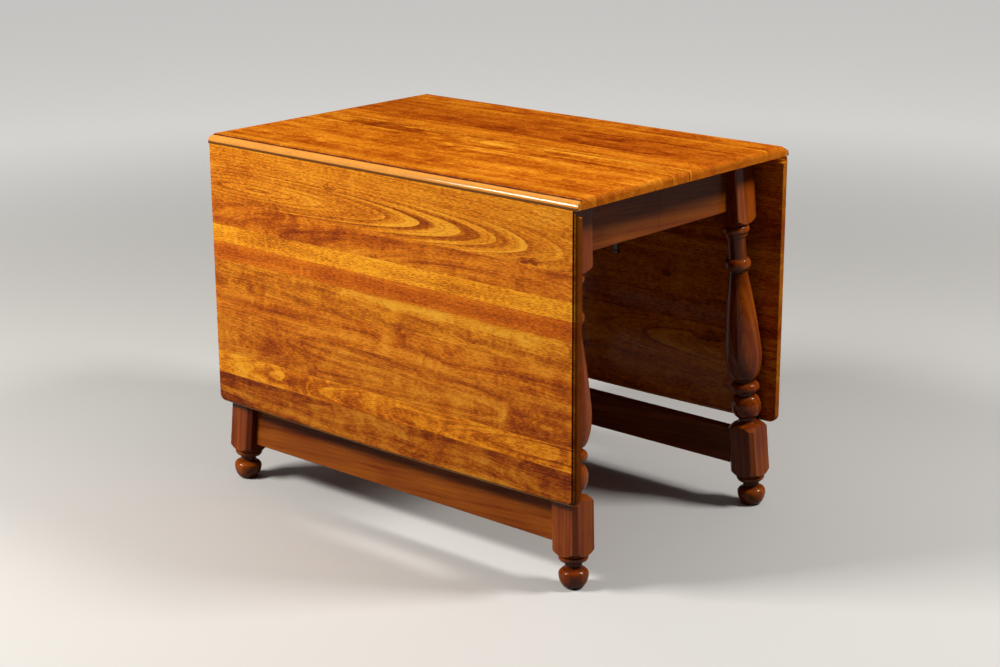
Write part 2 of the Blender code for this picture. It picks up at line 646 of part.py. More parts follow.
def stay(half, side, hand, end, half_empty):
    """A leaf stay: a bracket on the side apron, and an arm that swings up under the raised leaf."""
    x = end * STAY_X
    y = side * STAY_PIVOT_Y
    face = side * (STAY_PIVOT_Y - STAY_PIVOT_OUT + FIT_GAP)
    inner = STAY_WIDTH / 2 + FIT_GAP
    outer = inner + STAY_LUG
    name = half + "_stay_bracket_" + hand
    plate_face = face + side * STAY_LUG
    half_plate = STAY_PLATE_HEIGHT / 2
    plate = box(name, (x - outer - STAY_WIDTH, min(face, plate_face), STAY_PIVOT_Z - half_plate),
                (x + outer + STAY_WIDTH, max(face, plate_face), STAY_PIVOT_Z + half_plate), DARK_STEEL)
    lug_end = y + side * STAY_LUG_REACH
    root = face + side * STAY_LUG / 2
    for label, low, high in (("a", x + inner, x + outer), ("b", x - outer, x - inner)):
        lug = box(name + "_lug_" + label, (low, min(root, lug_end), STAY_PIVOT_Z - STAY_LUG_REACH),
                  (high, max(root, lug_end), STAY_PIVOT_Z + STAY_LUG_REACH))
        combine(plate, lug, "UNION")
    pivot = rod(name + "_pivot", (x, y, STAY_PIVOT_Z), (1, 0, 0), 2 * inner + STAY_LUG, STAY_PIN_RADIUS)
    combine(plate, pivot, "UNION")
    empty = joint_empty(half + "_stay_axis_" + hand, (x, y, STAY_PIVOT_Z))
    arm_name = half + "_stay_arm_" + hand
    arm = rod(arm_name, (x, y, STAY_PIVOT_Z), (1, 0, 0), STAY_WIDTH, STAY_EYE_RADIUS, DARK_STEEL)
    tip_z = STAY_PIVOT_Z - STAY_LENGTH
    bar = box(arm_name + "_bar", (x - STAY_WIDTH / 2, y - STAY_BAR / 2, tip_z),
              (x + STAY_WIDTH / 2, y + STAY_BAR / 2, STAY_PIVOT_Z - STAY_PIN_RADIUS - STAY_BAR / 4))
    tip = rod(arm_name + "_tip", (x, y, tip_z), (1, 0, 0), STAY_WIDTH + STAY_LUG, STAY_TIP_RADIUS)
    eye = rod(arm_name + "_eye", (x, y, STAY_PIVOT_Z), (1, 0, 0), 2 * STAY_WIDTH, STAY_PIN_RADIUS + FIT_GAP)
    combine(arm, bar, "UNION")
    combine(arm, tip, "UNION")
    combine(arm, eye, "DIFFERENCE")
    hang(arm, empty)
    if half_empty:
        empty.location -= half_empty.location
        empty.parent = half_empty
    return plate


def half_table(half, side, half_empty, blank, trim, ends_round):
    """One half of the table; the front half hangs from the empty of its slide joint."""
    board = top_half(half, side, ends_round)
    fixed = [board]
    housings = {}
    for hand, end in ENDS:
        housings[hand] = leg_housing(half + "_leg_housing_" + hand, side, end)
        legs = leg(half + "_leg_" + hand, side, end, blank, trim)
        if half_empty:
            legs.parent = half_empty
        fixed.append(end_apron(half, side, hand, end, housings[hand]))
        fixed.append(corner_brace(half, side, hand, end))
    fixed.append(side_apron(half, side, housings))
    low_rail = stretcher(half, side, housings)
    if half_empty:
        low_rail.parent = half_empty
    leaf_empty = joint_empty(half + "_leaf_axis", (0.0, side * HINGE_Y, PIN_Z))
    hang(leaf(half, side), leaf_empty)
    for place, x in (("right", OUTER_HINGE_X), ("middle", 0.0), ("left", -OUTER_HINGE_X)):
        fixed += hinge(half, side, place, x, board, leaf_empty)
    for hand, end in ENDS:
        fixed.append(stay(half, side, hand, end, half_empty))
    if half_empty:
        leaf_empty.parent = half_empty
        for piece in fixed:
            hang(piece, half_empty)
    return board


front_slide = joint_empty("front_half_slide", (0.0, 0.0, 0.0))
middle_slide = joint_empty("middle_rails_slide", (0.0, 0.0, 0.0))
leg_mesh = leg_blank()
level_trim = box("leg_trim", (-TOP_LENGTH, -TOP_LENGTH, 0.0),
                 (TOP_LENGTH, TOP_LENGTH, UNDERSIDE_Z - FIT_GAP))
long_section = rounded_ends()
tops = {}
for half_name, half_side in HALVES:
    mover = front_slide if half_name == "front" else None
    tops[half_name] = half_table(half_name, half_side, mover, leg_mesh, level_trim, long_section)
seam_dowels(tops, front_slide)
slides(front_slide, middle_slide)
front_slide.parent = middle_slide
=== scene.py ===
# Drop-leaf extension table in amber stained hardwood: the looks of every piece, set around the packed
# frame. Metres. X runs along the hinge lines, Y from the front half to the rear half, Z up.
import math

import bmesh
import bpy
from mathutils import Matrix, Vector


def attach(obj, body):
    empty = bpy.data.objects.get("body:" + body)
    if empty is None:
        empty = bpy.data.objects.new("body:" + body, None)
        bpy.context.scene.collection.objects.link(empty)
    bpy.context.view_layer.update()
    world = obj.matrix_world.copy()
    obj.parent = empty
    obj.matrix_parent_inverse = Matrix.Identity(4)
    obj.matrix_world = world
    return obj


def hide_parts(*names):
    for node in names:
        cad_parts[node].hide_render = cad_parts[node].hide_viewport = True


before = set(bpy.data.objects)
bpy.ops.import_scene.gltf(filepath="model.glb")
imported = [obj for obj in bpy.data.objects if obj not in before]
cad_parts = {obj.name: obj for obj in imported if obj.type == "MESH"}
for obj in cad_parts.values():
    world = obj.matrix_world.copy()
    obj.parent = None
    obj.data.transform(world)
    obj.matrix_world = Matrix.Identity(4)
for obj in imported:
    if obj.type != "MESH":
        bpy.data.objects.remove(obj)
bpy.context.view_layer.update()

# Legs
# Four legs of red-brown stained hardwood, splayed both ways. Each is turned on a lathe from foot to bead,
# with a square block left at the top for the aprons and a chamfered one low down for the stretcher.
HALVES = (("rear", 1), ("front", -1))
ENDS = (("right", 1), ("left", -1))
QUARTER = math.pi / 2
SPARE = 0.02
UNDERSIDE = 0.7415
FIT_GAP = 0.0003
FOOT_X = 0.4643
FOOT_Y = 0.2940755
SPLAY_X = math.radians(3.8)
SPLAY_Y = math.radians(3.0)
LEG_RISE = Vector((-math.tan(SPLAY_X), -math.tan(SPLAY_Y), 1.0))
LEG_LENGTH = UNDERSIDE * LEG_RISE.length
BLOCK = 0.064
BLOCK_BLANK = 0.048
UPPER_BLOCK = 0.1415
LOWER_BLOCK = (0.0625, 0.185)
COLLAR_SPARE = 0.03
NECK = 0.01775
LATHE_SEGMENTS = 72
MERGE_DISTANCE = 0.00001
SLICE_TOLERANCE = 0.000001


class Shade:
    """A socket of a node tree. Sums and products of sockets add Math nodes; node adds any other kind."""

    def __init__(self, socket):
        self.socket = socket

    def node(self, kind, settings, sockets, output=0):
        """Add a node: its settings first, then the values or links of its sockets."""
        tree = self.socket.id_data
        made = tree.nodes.new(kind)
        for key, setting in settings.items():
            if key != "stops":
                setattr(made, key, setting)
                continue
            ramp = made.color_ramp
            ramp.interpolation = setting[0]
            while len(ramp.elements) < len(setting[1]):
                ramp.elements.new(1.0)
            for stop, (place, colour) in zip(ramp.elements, setting[1]):
                stop.position = place
                stop.color = (*colour, 1.0)
        for key, value in sockets.items():
            if isinstance(value, Shade):
                tree.links.new(value.socket, made.inputs[key])
            else:
                made.inputs[key].default_value = value
        return Shade(made.outputs[output])

    def feed(self, node, key):
        """Connect this socket to an input of a node."""
        self.socket.id_data.links.new(self.socket, node.inputs[key])

    def maths(self, operation, *values):
        return self.node("ShaderNodeMath", {"operation": operation}, dict(enumerate(values)))

    def __add__(self, other):
        return self.maths("ADD", self, other)

    __radd__ = __add__

    def __sub__(self, other):
        return self.maths("SUBTRACT", self, other)

    def __rsub__(self, other):
        return self.maths("SUBTRACT", other, self)

    def __mul__(self, other):
        return self.maths("MULTIPLY", self, other)

    def __truediv__(self, other):
        return self.maths("DIVIDE", self, other)

    def __pow__(self, other):
        return self.maths("POWER", self, other)

    def __abs__(self):
        return self.maths("ABSOLUTE", self)

    def part(self, name):
        """One channel of a colour, or one axis of a vector."""
        if name in "XYZ":
            return self.node("ShaderNodeSeparateXYZ", {}, {0: self}, name)
        return self.node("ShaderNodeSeparateColor", {}, {0: self}, name)

    def vector(self, x, y, z):
        return self.node("ShaderNodeCombineXYZ", {}, {0: x, 1: y, 2: z})

    def smooth(self, low, high, to_low=0.0, to_high=1.0):
        """A smooth step between two values."""
        return self.node("ShaderNodeMapRange", {"interpolation_type": "SMOOTHSTEP"},
                         {0: self, 1: low, 2: high, 3: to_low, 4: to_high})

    def noise(self, vector, detail=2.0, roughness=0.5):
        return self.node("ShaderNodeTexNoise", {}, {"Vector": vector, "Scale": 1.0, "Detail": detail,
                                                    "Roughness": roughness})

    def ramp(self, stops, interpolation="LINEAR"):
        return self.node("ShaderNodeValToRGB", {"stops": (interpolation, stops)}, {0: self})

    def mix(self, factor, first, second, blend="MIX"):
        return self.node("ShaderNodeMix", {"data_type": "RGBA", "blend_type": blend},
                         {0: factor, 6: first, 7: second}, 2)


def finish(name):
    """A new material, its shader node, and the object coordinates that its pattern is drawn on."""
    material = bpy.data.materials.new(name)
    material.use_nodes = True
    shader = material.node_tree.nodes["Principled BSDF"]
    place = Shade(material.node_tree.nodes.new("ShaderNodeTexCoord").outputs["Object"])
    return material, shader, place


def lay(shader, colour, roughness, height, bump_depth, specular, coat=0.0, coat_roughness=0.03):
    """Connect a finish's colour, roughness and surface height to its shader, and set its gloss."""
    bump = colour.node("ShaderNodeBump", {}, {"Strength": 1.0, "Distance": bump_depth, "Height": height},
                       "Normal")
    for key, value in (("Base Color", colour), ("Roughness", roughness), ("Normal", bump)):
        value.feed(shader, key)
    shader.inputs["Specular IOR Level"].default_value = specular
    shader.inputs["Coat Weight"].default_value = coat
    shader.inputs["Coat Roughness"].default_value = coat_roughness


def fibre(along, across, depth, along_scale, cross_scale, seed=0.0, detail=2.0, roughness=0.5):
    """Noise drawn out along the grain: how many waves it has to the metre along it and across it."""
    place = along.vector(along * along_scale + seed, across * cross_scale, depth * cross_scale)
    return along.noise(place, detail, roughness)


def growth_rings(along, across, depth, pith_across, pith_depth, taper, seed, wander=0.010):
    """Distance from the pith of the tree, which wanders: equal distances are one growth ring."""
    drift = fibre(along, across, depth, 2.4, 10, seed, 1.0)
    ripple = fibre(along, across, depth, 8, 30, seed, 1.0)
    sideways = across - pith_across + (drift - 0.5) * wander * 2
    inwards = depth + pith_depth + along * taper + (drift - 0.5) * wander
    return (sideways * sideways + inwards * inwards) ** 0.5 + (ripple - 0.5) * 0.0012


def season_of(rings, seed, per_metre):
    """Share of a growth ring that is past, 0 to 1, in rings of uneven width."""
    spread = rings.noise(rings.vector(rings * per_metre * 0.21, seed, 0.0), 1.0)
    return rings.maths("FRACT", rings * per_metre + spread * 1.6)


def turned_wood():
    """Red-brown stain on turned hardwood: grain along the leg, darker in the necks, satin lacquer."""
    material, shader, place = finish("turned_red_brown_hardwood")
    x, y, z = (place.part(axis) for axis in "XYZ")
    from_axis_x = abs(x) - (z * LEG_RISE.x + FOOT_X)
    from_axis_y = abs(y) - (z * LEG_RISE.y + FOOT_Y)
    radius = (from_axis_x * from_axis_x + from_axis_y * from_axis_y) ** 0.5
    facing = place.node("ShaderNodeTexCoord", {}, {}, "Normal")
    leg = x.maths("SIGN", x) * 3.7 + x.maths("SIGN", y) * 9.1
    rings = growth_rings(z, from_axis_x, from_axis_y, 0.05, 0.04, 0.02, leg)
    season = season_of(rings, leg, 240.0)
    bands = z.noise(z.vector(rings * 110, leg, 0.0), 2.0, 0.6)
    streaks = z.noise(z.vector(from_axis_x * 420, from_axis_y * 420, z * 9 + leg), 3.0, 0.6)
    pores = z.noise(z.vector(from_axis_x * 1500, from_axis_y * 1500, z * 45 + leg), 1.0)
    cloud = z.noise(z.vector(x * 9, y * 9, z * 7 + leg), 2.0)
    tone = 0.56 + (bands - 0.5) * 0.80 + (streaks - 0.5) * 0.50 + (cloud - 0.5) * 0.60
    tone = tone + (season - 0.5) * 0.14
    wood = tone.ramp([(0.15, (0.085, 0.010, 0.0010)), (0.50, (0.235, 0.037, 0.0022)),
                      (0.85, (0.450, 0.105, 0.0080))])
    # Darker where the leg is narrow, in its necks.
    darker_in_necks = radius.smooth(0.0285, 0.0165)
    end_grain = abs(facing.part("Z")).smooth(0.45, 0.95)
    pore_stain = pores.smooth(0.60, 0.72)
    wood = wood.mix(darker_in_necks * 0.60, wood, (0.055, 0.008, 0.0012, 1.0))
    wood = wood.mix(end_grain * 0.12, wood, (0.060, 0.009, 0.0012, 1.0))
    wood = wood.mix(pore_stain * 0.45, wood, (0.045, 0.007, 0.001, 1.0))
    roughness = 0.24 + streaks * 0.12 + pore_stain * 0.10
    lay(shader, wood, roughness, streaks * 0.3 - pore_stain, bump_depth=0.00012, specular=0.04, coat=0.26,
        coat_roughness=0.08)
    return material


def arc(centre, across, up, start, end, steps):
    """Points of an arc about a centre, with a radius across and one up, from one angle to another."""
    turns = [start + (end - start) * step / steps for step in range(steps + 1)]
    return [(centre[0] + across * math.cos(turn), centre[1] + up * math.sin(turn)) for turn in turns]


def bead(low, high, edge, full, steps=14):
    """Profile of a rounded ring, from its lower edge to its upper edge: radius and height."""
    return arc((edge, (low + high) / 2), full - edge, (high - low) / 2, -QUARTER, QUARTER, steps)


def dome(start, end, roundness, steps=12):
    """Profile of a shoulder, flat at its first point and steeper towards its last."""
    shares = [step / steps for step in range(steps + 1)]
    return [(start[0] + (end[0] - start[0]) * share, start[1] + (end[1] - start[1]) * share ** roundness)
            for share in shares]


def bun(radius, middle, below, above, low, high, steps=24):
    """Profile of the foot: a ball that is squashed below its middle and more so above it."""
    points = []
    for step in range(steps + 1):
        height = low + (high - low) * step / steps
        squash = (height - middle) / (below if height < middle else above)
        points.append((radius * math.sqrt(1.0 - squash * squash), height))
    return points


def leg_profile():
    """Radius and height of the turned leg from under the foot to above the top block."""
    ankle, belly_radius, vase_neck, throat, collar = 0.0166, 0.03825, 0.0185, 0.0193, 0.0228
    ring_gap, ring_height, throat_length, fillet, bead_height = 0.003, 0.0245, 0.046, 0.0065, 0.0165
    base, belly = 0.2735, 0.3363
    bead_top = LEG_LENGTH - UPPER_BLOCK
    vase_top = bead_top - bead_height - fillet - throat_length - ring_height - ring_gap
    points = [(0.0, -0.004)] + bun(0.02925, 0.0285, 0.0345, 0.0144, -0.004, 0.0392)
    points += [(0.0196, 0.0399), (0.0180, 0.0406), (0.0170, 0.0424)]
    points += [(ankle, 0.0450), (ankle, 0.0512), (0.0200, 0.0517)]
    points += arc((0.0208, 0.0618), 0.0085, 0.0098, -QUARTER, 0.0, 8)
    points += [(0.0290, 0.0627), (0.0278, 0.0631)]
    points += dome((0.0280, 0.0640), (0.0420, 0.0780), 1.3)
    points += [(BLOCK_BLANK, 0.0850), (BLOCK_BLANK, 0.1560)]
    points += reversed(dome((0.0226, 0.1806), (0.0420, 0.1665), 1.9))
    points += [(0.0222, 0.1816), (0.0206, 0.1824), (0.0192, 0.1838), (0.0181, 0.1864), (NECK, 0.1900)]
    points += bead(0.193, 0.241, NECK, 0.0303, 20)
    points += bead(0.2465, 0.2695, NECK, 0.0297)
    points += arc((NECK, belly), belly_radius - NECK, belly - base, -QUARTER, 0.0, 16)[:-1]
    for step in range(29):
        share = 1.0 - step / 28
        swell = (share + math.sin(share * QUARTER)) / 2
        points.append((vase_neck + (belly_radius - vase_neck) * swell, vase_top - share * (vase_top - belly)))
    level = vase_top + ring_gap
    points += bead(level, level + ring_height, throat, 0.0268)
    level += ring_height
    for step in range(1, 9):
        share = step / 9
        points.append((throat - 0.0007 * math.sin(share * math.pi), level + throat_length * share))
    level += throat_length
    points += [(throat, level), (0.0222, level + 0.0004), (collar, level + 0.0012), (collar, level + 0.0058)]
    points += bead(level + fillet, bead_top, collar, 0.0278)
    points += dome((0.0240, bead_top + 0.0004), (0.0440, bead_top + 0.0150), 1.3)
    points += [(BLOCK_BLANK, bead_top + 0.0200), (BLOCK_BLANK, LEG_LENGTH + SPARE), (0.0, LEG_LENGTH + SPARE)]
    return points


def new_tree(name, output, *inputs):
    """The inputs of a new Geometry Nodes tree with one output; each is given by its kind and its name."""
    tree = bpy.data.node_groups.new(name, "GeometryNodeTree")
    for kind, label in inputs:
        tree.interface.new_socket(label, in_out="INPUT", socket_type="NodeSocket" + kind)
    tree.interface.new_socket(output, in_out="OUTPUT", socket_type="NodeSocketGeometry")
    given = tree.nodes.new("NodeGroupInput").outputs
    return [Shade(given[label]) for kind, label in inputs]


def end_tree(geometry, material):
    """Close a Geometry Nodes tree: real instances, a material and the output. Gives the tree."""
    real = geometry.node("GeometryNodeRealizeInstances", {}, {"Geometry": geometry})
    shown = real.node("GeometryNodeSetMaterial", {}, {"Geometry": real, "Material": material})
    tree = shown.socket.id_data
    shown.feed(tree.nodes.new("NodeGroupOutput"), 0)
    return tree


def lathe():
    """Geometry Nodes that turn a profile, given as a line of points, about the upright axis."""
    profile, segments, wood = new_tree("lathe", "Turning", ("Geometry", "Profile"), ("Int", "Segments"),
                                       ("Material", "Wood"))
    points = profile.node("GeometryNodeAttributeDomainSize", {}, {0: profile}, "Point Count")
    grid = points.node("GeometryNodeMeshGrid", {}, {"Vertices X": segments + 1.0, "Vertices Y": points})
    index = points.node("GeometryNodeInputIndex", {}, {})
    position = points.node("GeometryNodeInputPosition", {}, {})
    row = index.maths("MODULO", index, points)
    column = index.maths("FLOOR", index / points)
    angle = column * index.maths("DIVIDE", math.tau, segments)
    sample = row.node("GeometryNodeSampleIndex", {"data_type": "FLOAT_VECTOR"},
                      {"Geometry": profile, "Value": position, "Index": row})
    spun = sample.node("ShaderNodeVectorRotate", {"rotation_type": "Z_AXIS"},
                       {"Vector": sample, "Angle": angle})
    placed = grid.node("GeometryNodeSetPosition", {}, {"Geometry": grid, "Position": spun})
    closed = placed.node("GeometryNodeMergeByDistance", {}, {"Geometry": placed, "Distance": MERGE_DISTANCE})
    return end_tree(closed, wood)


def grow(name, mesh, tree, **inputs):
    """A plain mesh made by a Geometry Nodes tree from a mesh and named inputs."""
    piece = bpy.data.objects.new(name, mesh)
    bpy.context.scene.collection.objects.link(piece)
    modifier = piece.modifiers.new(tree.name, "NODES")
    modifier.node_group = tree
    for socket in tree.interface.items_tree:
        if socket.in_out == "INPUT" and socket.name in inputs:
            modifier[socket.identifier] = inputs[socket.name]
    return settle(piece)


def settle(piece):
    """Turn a piece's modifiers into its plain mesh."""
    depsgraph = bpy.context.evaluated_depsgraph_get()
    mesh = bpy.data.meshes.new_from_object(piece.evaluated_get(depsgraph))
    piece.modifiers.clear()
    piece.data = mesh
    return piece


def mesh_of(name, form, closed=True):
    """A bmesh as a mesh, with its faces pointing out."""
    if closed:
        bmesh.ops.recalc_face_normals(form, faces=form.faces)
    mesh = bpy.data.meshes.new(name)
    form.to_mesh(mesh)
    form.free()
    return mesh


def add_piece(name, form, closed=True):
    """A new object from a bmesh."""
    piece = bpy.data.objects.new(name, mesh_of(name, form, closed))
    bpy.context.scene.collection.objects.link(piece)
    return piece


def cut(piece, tools, operation="DIFFERENCE"):
    """Cut a piece with other solids, which are then thrown away."""
    for tool in tools:
        change = piece.modifiers.new(tool.name, "BOOLEAN")
        change.operation = operation
        change.solver = "EXACT"
        change.object = tool
    settle(piece)
    for tool in tools:
        bpy.data.objects.remove(tool)


def show(piece, material, body, slot, *replaced, crease=32):
    """Give a finished piece its shading, smooth up to a crease angle, its finish and its body. The slot is
    not used.
    """
    piece.data.materials.clear()
    piece.data.materials.append(material)
    piece.data.shade_smooth()
    piece.data.set_sharp_from_angle(angle=math.radians(crease))
    even = piece.modifiers.new("even_shading", "WEIGHTED_NORMAL")
    even.weight = 100
    even.keep_sharp = True
    settle(piece)
    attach(piece, body)
    if replaced:
        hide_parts(*replaced)


def eased(outline, ease, steps=4):
    """An outline with each of its corners rounded, starting at a distance before the corner."""
    points = []
    for index, corner in enumerate(outline):
        corner = Vector(corner)
        back = Vector(outline[index - 1]) - corner
        on = Vector(outline[(index + 1) % len(outline)]) - corner
        start = corner + back.normalized() * min(ease, back.length / 2)
        end = corner + on.normalized() * min(ease, on.length / 2)
        for step in range(steps + 1):
            share = step / steps
            points.append(start * (1 - share) ** 2 + corner * (2 * share * (1 - share)) + end * share ** 2)
    return [tuple(point) for point in points]


def bridge(form, loops):
    """Join each loop of points to the next one with faces."""
    for first, second in zip(loops, loops[1:]):
        for index in range(len(first)):
            form.faces.new((first[index - 1], first[index], second[index], second[index - 1]))


def block_collar(name, low, high, chamfer, ease):
    """A ring with a square hole, that squares the turned blank where a block is left."""
    half, spread = BLOCK / 2, 2.5
    flat = half - chamfer
    hole = eased([(half, -flat), (half, flat), (flat, half), (-flat, half),
                  (-half, flat), (-half, -flat), (-flat, -half), (flat, -half)], ease)
    form = bmesh.new()
    loops = [[form.verts.new((u * size, v * size, z)) for u, v in hole]
             for size, z in ((1, low), (1, high), (spread, high), (spread, low))]
    bridge(form, loops + loops[:1])
    return add_piece(name, form)


def leg_axes(side, end):
    """A leg's sideways, front-to-back and upward directions."""
    rise = Vector((end * LEG_RISE.x, side * LEG_RISE.y, 1.0)).normalized()
    across = Vector((rise.z, 0.0, -rise.x)).normalized()
    return across, rise.cross(across), rise


def slice_off(form, point, normal):
    """Cut a solid at a plane, keep the side behind it, and close the cut."""
    everything = form.verts[:] + form.edges[:] + form.faces[:]
    made = bmesh.ops.bisect_plane(form, geom=everything, dist=SLICE_TOLERANCE, plane_co=point,
                                  plane_no=normal, clear_outer=True)
    rim = [edge for edge in made["geom_cut"] if isinstance(edge, bmesh.types.BMEdge)]
    bmesh.ops.holes_fill(form, edges=rim, sides=0)


def turned(name, profile, segments, material):
    """A closed solid turned on the lathe from a profile."""
    line = bmesh.new()
    dots = [line.verts.new((radius, 0.0, height)) for radius, height in profile]
    for lower, upper in zip(dots, dots[1:]):
        line.edges.new((lower, upper))
    piece = grow(name, mesh_of(name, line, closed=False), lathe_tree, Segments=segments, Wood=material)
    form = bmesh.new()
    form.from_mesh(piece.data)
    piece.data = mesh_of(name, form)
    return piece


lathe_tree = lathe()
red_brown_wood = turned_wood()
blank = turned("leg_blank", leg_profile(), LATHE_SEGMENTS, red_brown_wood)
upper_block = (LEG_LENGTH - UPPER_BLOCK, LEG_LENGTH + COLLAR_SPARE)
cut(blank, [block_collar("lower_collar", *LOWER_BLOCK, chamfer=0.008, ease=0.0012),
            block_collar("upper_collar", *upper_block, chamfer=0.003, ease=0.002)])
for half, side in HALVES:
    for hand, end in ENDS:
        form = bmesh.new()
        form.from_mesh(blank.data)
        lean = Matrix(leg_axes(side, end)).transposed().to_4x4()
        stand = Matrix.Translation((end * FOOT_X, side * FOOT_Y, 0.0))
        bmesh.ops.transform(form, matrix=stand @ lean, verts=form.verts)
        slice_off(form, (0, 0, 0), (0, 0, -1))
        slice_off(form, (0, 0, UNDERSIDE - FIT_GAP), (0, 0, 1))
        piece = add_piece(half + "_turned_leg_" + hand, form)
        show(piece, red_brown_wood, half + "_half", "turned_wood", half + "_leg_" + hand, crease=21)
bpy.data.objects.remove(blank)

# Stretchers
# A low flat rail joins the two legs of each half. It leans with the legs, and its eased edges run into the
# lower blocks. Brown stained hardwood, satin lacquered.
STRETCHER_HEIGHT = 0.122
STRETCHER_DEPTH = 0.078
RAIL_THICKNESS = 0.022
RAIL_EASE = 0.0025
RAIL_BLANK = 0.5


def frame_wood(name, along_axis, depth_axis):
    """Brown stain on plain sawn rails on edge, with the grain along one axis."""
    material, shader, place = finish(name)
    along, across, depth = place.part(along_axis), place.part("Z"), place.part(depth_axis)
    board = depth.maths("SIGN", depth) * 4.3
    rings = growth_rings(along, across, abs(depth), 0.30, 0.05, 0.05, board, 0.014)
    season = season_of(rings, board, 190.0)
    bands = along.noise(along.vector(rings * 85, board, 3.0), 2.0, 0.6)
    streaks = fibre(along, across, depth, 6, 330, 0.0, 3.0, 0.6)
    pores = fibre(along, across, depth, 45, 1300, 0.0, 1.0)
    cloud = fibre(along, across, depth, 5, 14)
    tone = 0.55 + (bands - 0.5) * 0.95 + (streaks - 0.5) * 0.45 + (cloud - 0.5) * 0.60
    tone = tone + (season - 0.5) * 0.14
    wood = tone.ramp([(0.15, (0.088, 0.012, 0.0012)), (0.50, (0.228, 0.042, 0.0028)),
                      (0.85, (0.420, 0.110, 0.0090))])
    pore_stain = pores.smooth(0.60, 0.72)
    wood = wood.mix(pore_stain * 0.40, wood, (0.055, 0.009, 0.001, 1.0))
    roughness = 0.32 + streaks * 0.12 + pore_stain * 0.10
    lay(shader, wood, roughness, streaks * 0.3 - pore_stain, bump_depth=0.00012, specular=0.04, coat=0.12,
        coat_roughness=0.14)
    return material


def drawn_out(outline, axis, low, high):
    """A bmesh solid: a flat outline drawn out along one axis."""
    form = bmesh.new()
    place = "XYZ".index(axis)
    ends = [[form.verts.new((*point[:place], level, *point[place:])) for point in outline]
            for level in (low, high)]
    bridge(form, ends)
    for end in ends:
        form.faces.new(end)
    bmesh.ops.recalc_face_normals(form, faces=form.faces)
    return form


def rectangle(u_low, u_high, v_low, v_high, ease):
    """A rectangular section with eased corners."""
    return eased([(u_low, v_low), (u_high, v_low), (u_high, v_high), (u_low, v_high)], ease)


def rail_section(middle, lower, upper):
    """Section of a rail on edge: the middle of its thickness, and its lower and upper edge."""
    return rectangle(middle - RAIL_THICKNESS / 2, middle + RAIL_THICKNESS / 2, lower, upper, RAIL_EASE)


def leg_face(side, end, direction):
    """A point on the leg's face that a rail meets, and the way that points out of the rail there."""
    across, along = leg_axes(side, end)[:2]
    outward = across * end if direction == "X" else along * side
    return Vector((end * FOOT_X, side * FOOT_Y, 0.0)) - outward * (BLOCK / 2 + FIT_GAP), outward


long_rail_wood = frame_wood("brown_rail_along_the_table", "X", "Y")
for half, side in HALVES:
    section = rail_section(0.0, -STRETCHER_DEPTH / 2, STRETCHER_DEPTH / 2)
    form = drawn_out(section, "X", -RAIL_BLANK, RAIL_BLANK)
    lean = Matrix.Rotation(side * SPLAY_Y, 4, "X")
    place = Matrix.Translation((0.0, side * (FOOT_Y + LEG_RISE.y * STRETCHER_HEIGHT), STRETCHER_HEIGHT))
    bmesh.ops.transform(form, matrix=place @ lean, verts=form.verts)
    for hand, end in ENDS:
        slice_off(form, *leg_face(side, end, "X"))
    piece = add_piece(half + "_low_rail", form)
    show(piece, long_rail_wood, half + "_half", "frame_wood", half + "_stretcher")

# Aprons
# Boards on edge under the top: a long one behind each leaf, and two short ones at each end, which part at the
# seam when the table is pulled open. Brown stained hardwood like the stretchers.
APRON_X = 0.4186197
APRON_Y = 0.2580321
APRON_LOWER = 0.634
END_APRON_BLANK = 0.32
SEAM_GAP = 0.0006
cross_rail_wood = frame_wood("brown_rail_across_the_table", "Y", "X")
apron_top = UNDERSIDE - FIT_GAP
for half, side in HALVES:
    form = drawn_out(rail_section(side * APRON_Y, APRON_LOWER, apron_top), "X", -RAIL_BLANK, RAIL_BLANK)
    for hand, end in ENDS:
        slice_off(form, *leg_face(side, end, "X"))
    piece = add_piece(half + "_long_apron", form)
    show(piece, long_rail_wood, half + "_half", "frame_wood", half + "_side_apron")
    for hand, end in ENDS:
        section = rail_section(end * APRON_X, APRON_LOWER, apron_top)
        form = drawn_out(section, "Y", side * SEAM_GAP / 2, side * END_APRON_BLANK)
        slice_off(form, *leg_face(side, end, "Y"))
        piece = add_piece(half + "_short_apron_" + hand, form)
        show(piece, cross_rail_wood, half + "_half", "frame_wood", half + "_end_apron_" + hand)

# Corner braces
# A block of plain planed wood stands across each inner corner of the frame, glued and screwed to both aprons,
# so that the splayed legs can't rack.
BRACE_NEAR = 0.0540
BRACE_FAR = 0.0823
BRACE_LOWER = 0.656
PLANED_EASE = 0.0014
inner_corner = (APRON_X - RAIL_THICKNESS / 2 - FIT_GAP, APRON_Y - RAIL_THICKNESS / 2 - FIT_GAP)


def planed_wood(name, along_axis):
    """Pale wood left plain from the plane, a little dusty, with the grain along one axis."""
    material, shader, place = finish(name)
    along = place.part(along_axis)
    across, depth = (place.part(axis) for axis in "XYZ" if axis != along_axis)
    stock = across.maths("SIGN", across) * 2.7 + depth.maths("SIGN", depth) * 5.1
    rings = growth_rings(along, abs(across), abs(depth), 0.32, 0.06, 0.03, stock, 0.012)
    season = season_of(rings, stock, 210.0)
    streaks = fibre(along, across, depth, 7, 300, stock, 3.0, 0.6)
    pores = fibre(along, across, depth, 50, 1200, stock, 1.0)
    dust = fibre(along, across, depth, 6, 16, stock, 3.0)
    tone = 0.5 + (season - 0.5) * 0.34 + (streaks - 0.5) * 0.55 + (dust - 0.5) * 0.60
    wood = tone.ramp([(0.15, (0.175, 0.078, 0.024)), (0.50, (0.330, 0.172, 0.063)),
                      (0.85, (0.470, 0.280, 0.120))])
    pore_stain = pores.smooth(0.60, 0.72)
    wood = wood.mix(pore_stain * 0.35, wood, (0.090, 0.040, 0.014, 1.0))
    roughness = 0.56 + streaks * 0.14 + dust * 0.08
    lay(shader, wood, roughness, streaks * 0.5 - pore_stain, bump_depth=0.00016, specular=0.20)
    return material


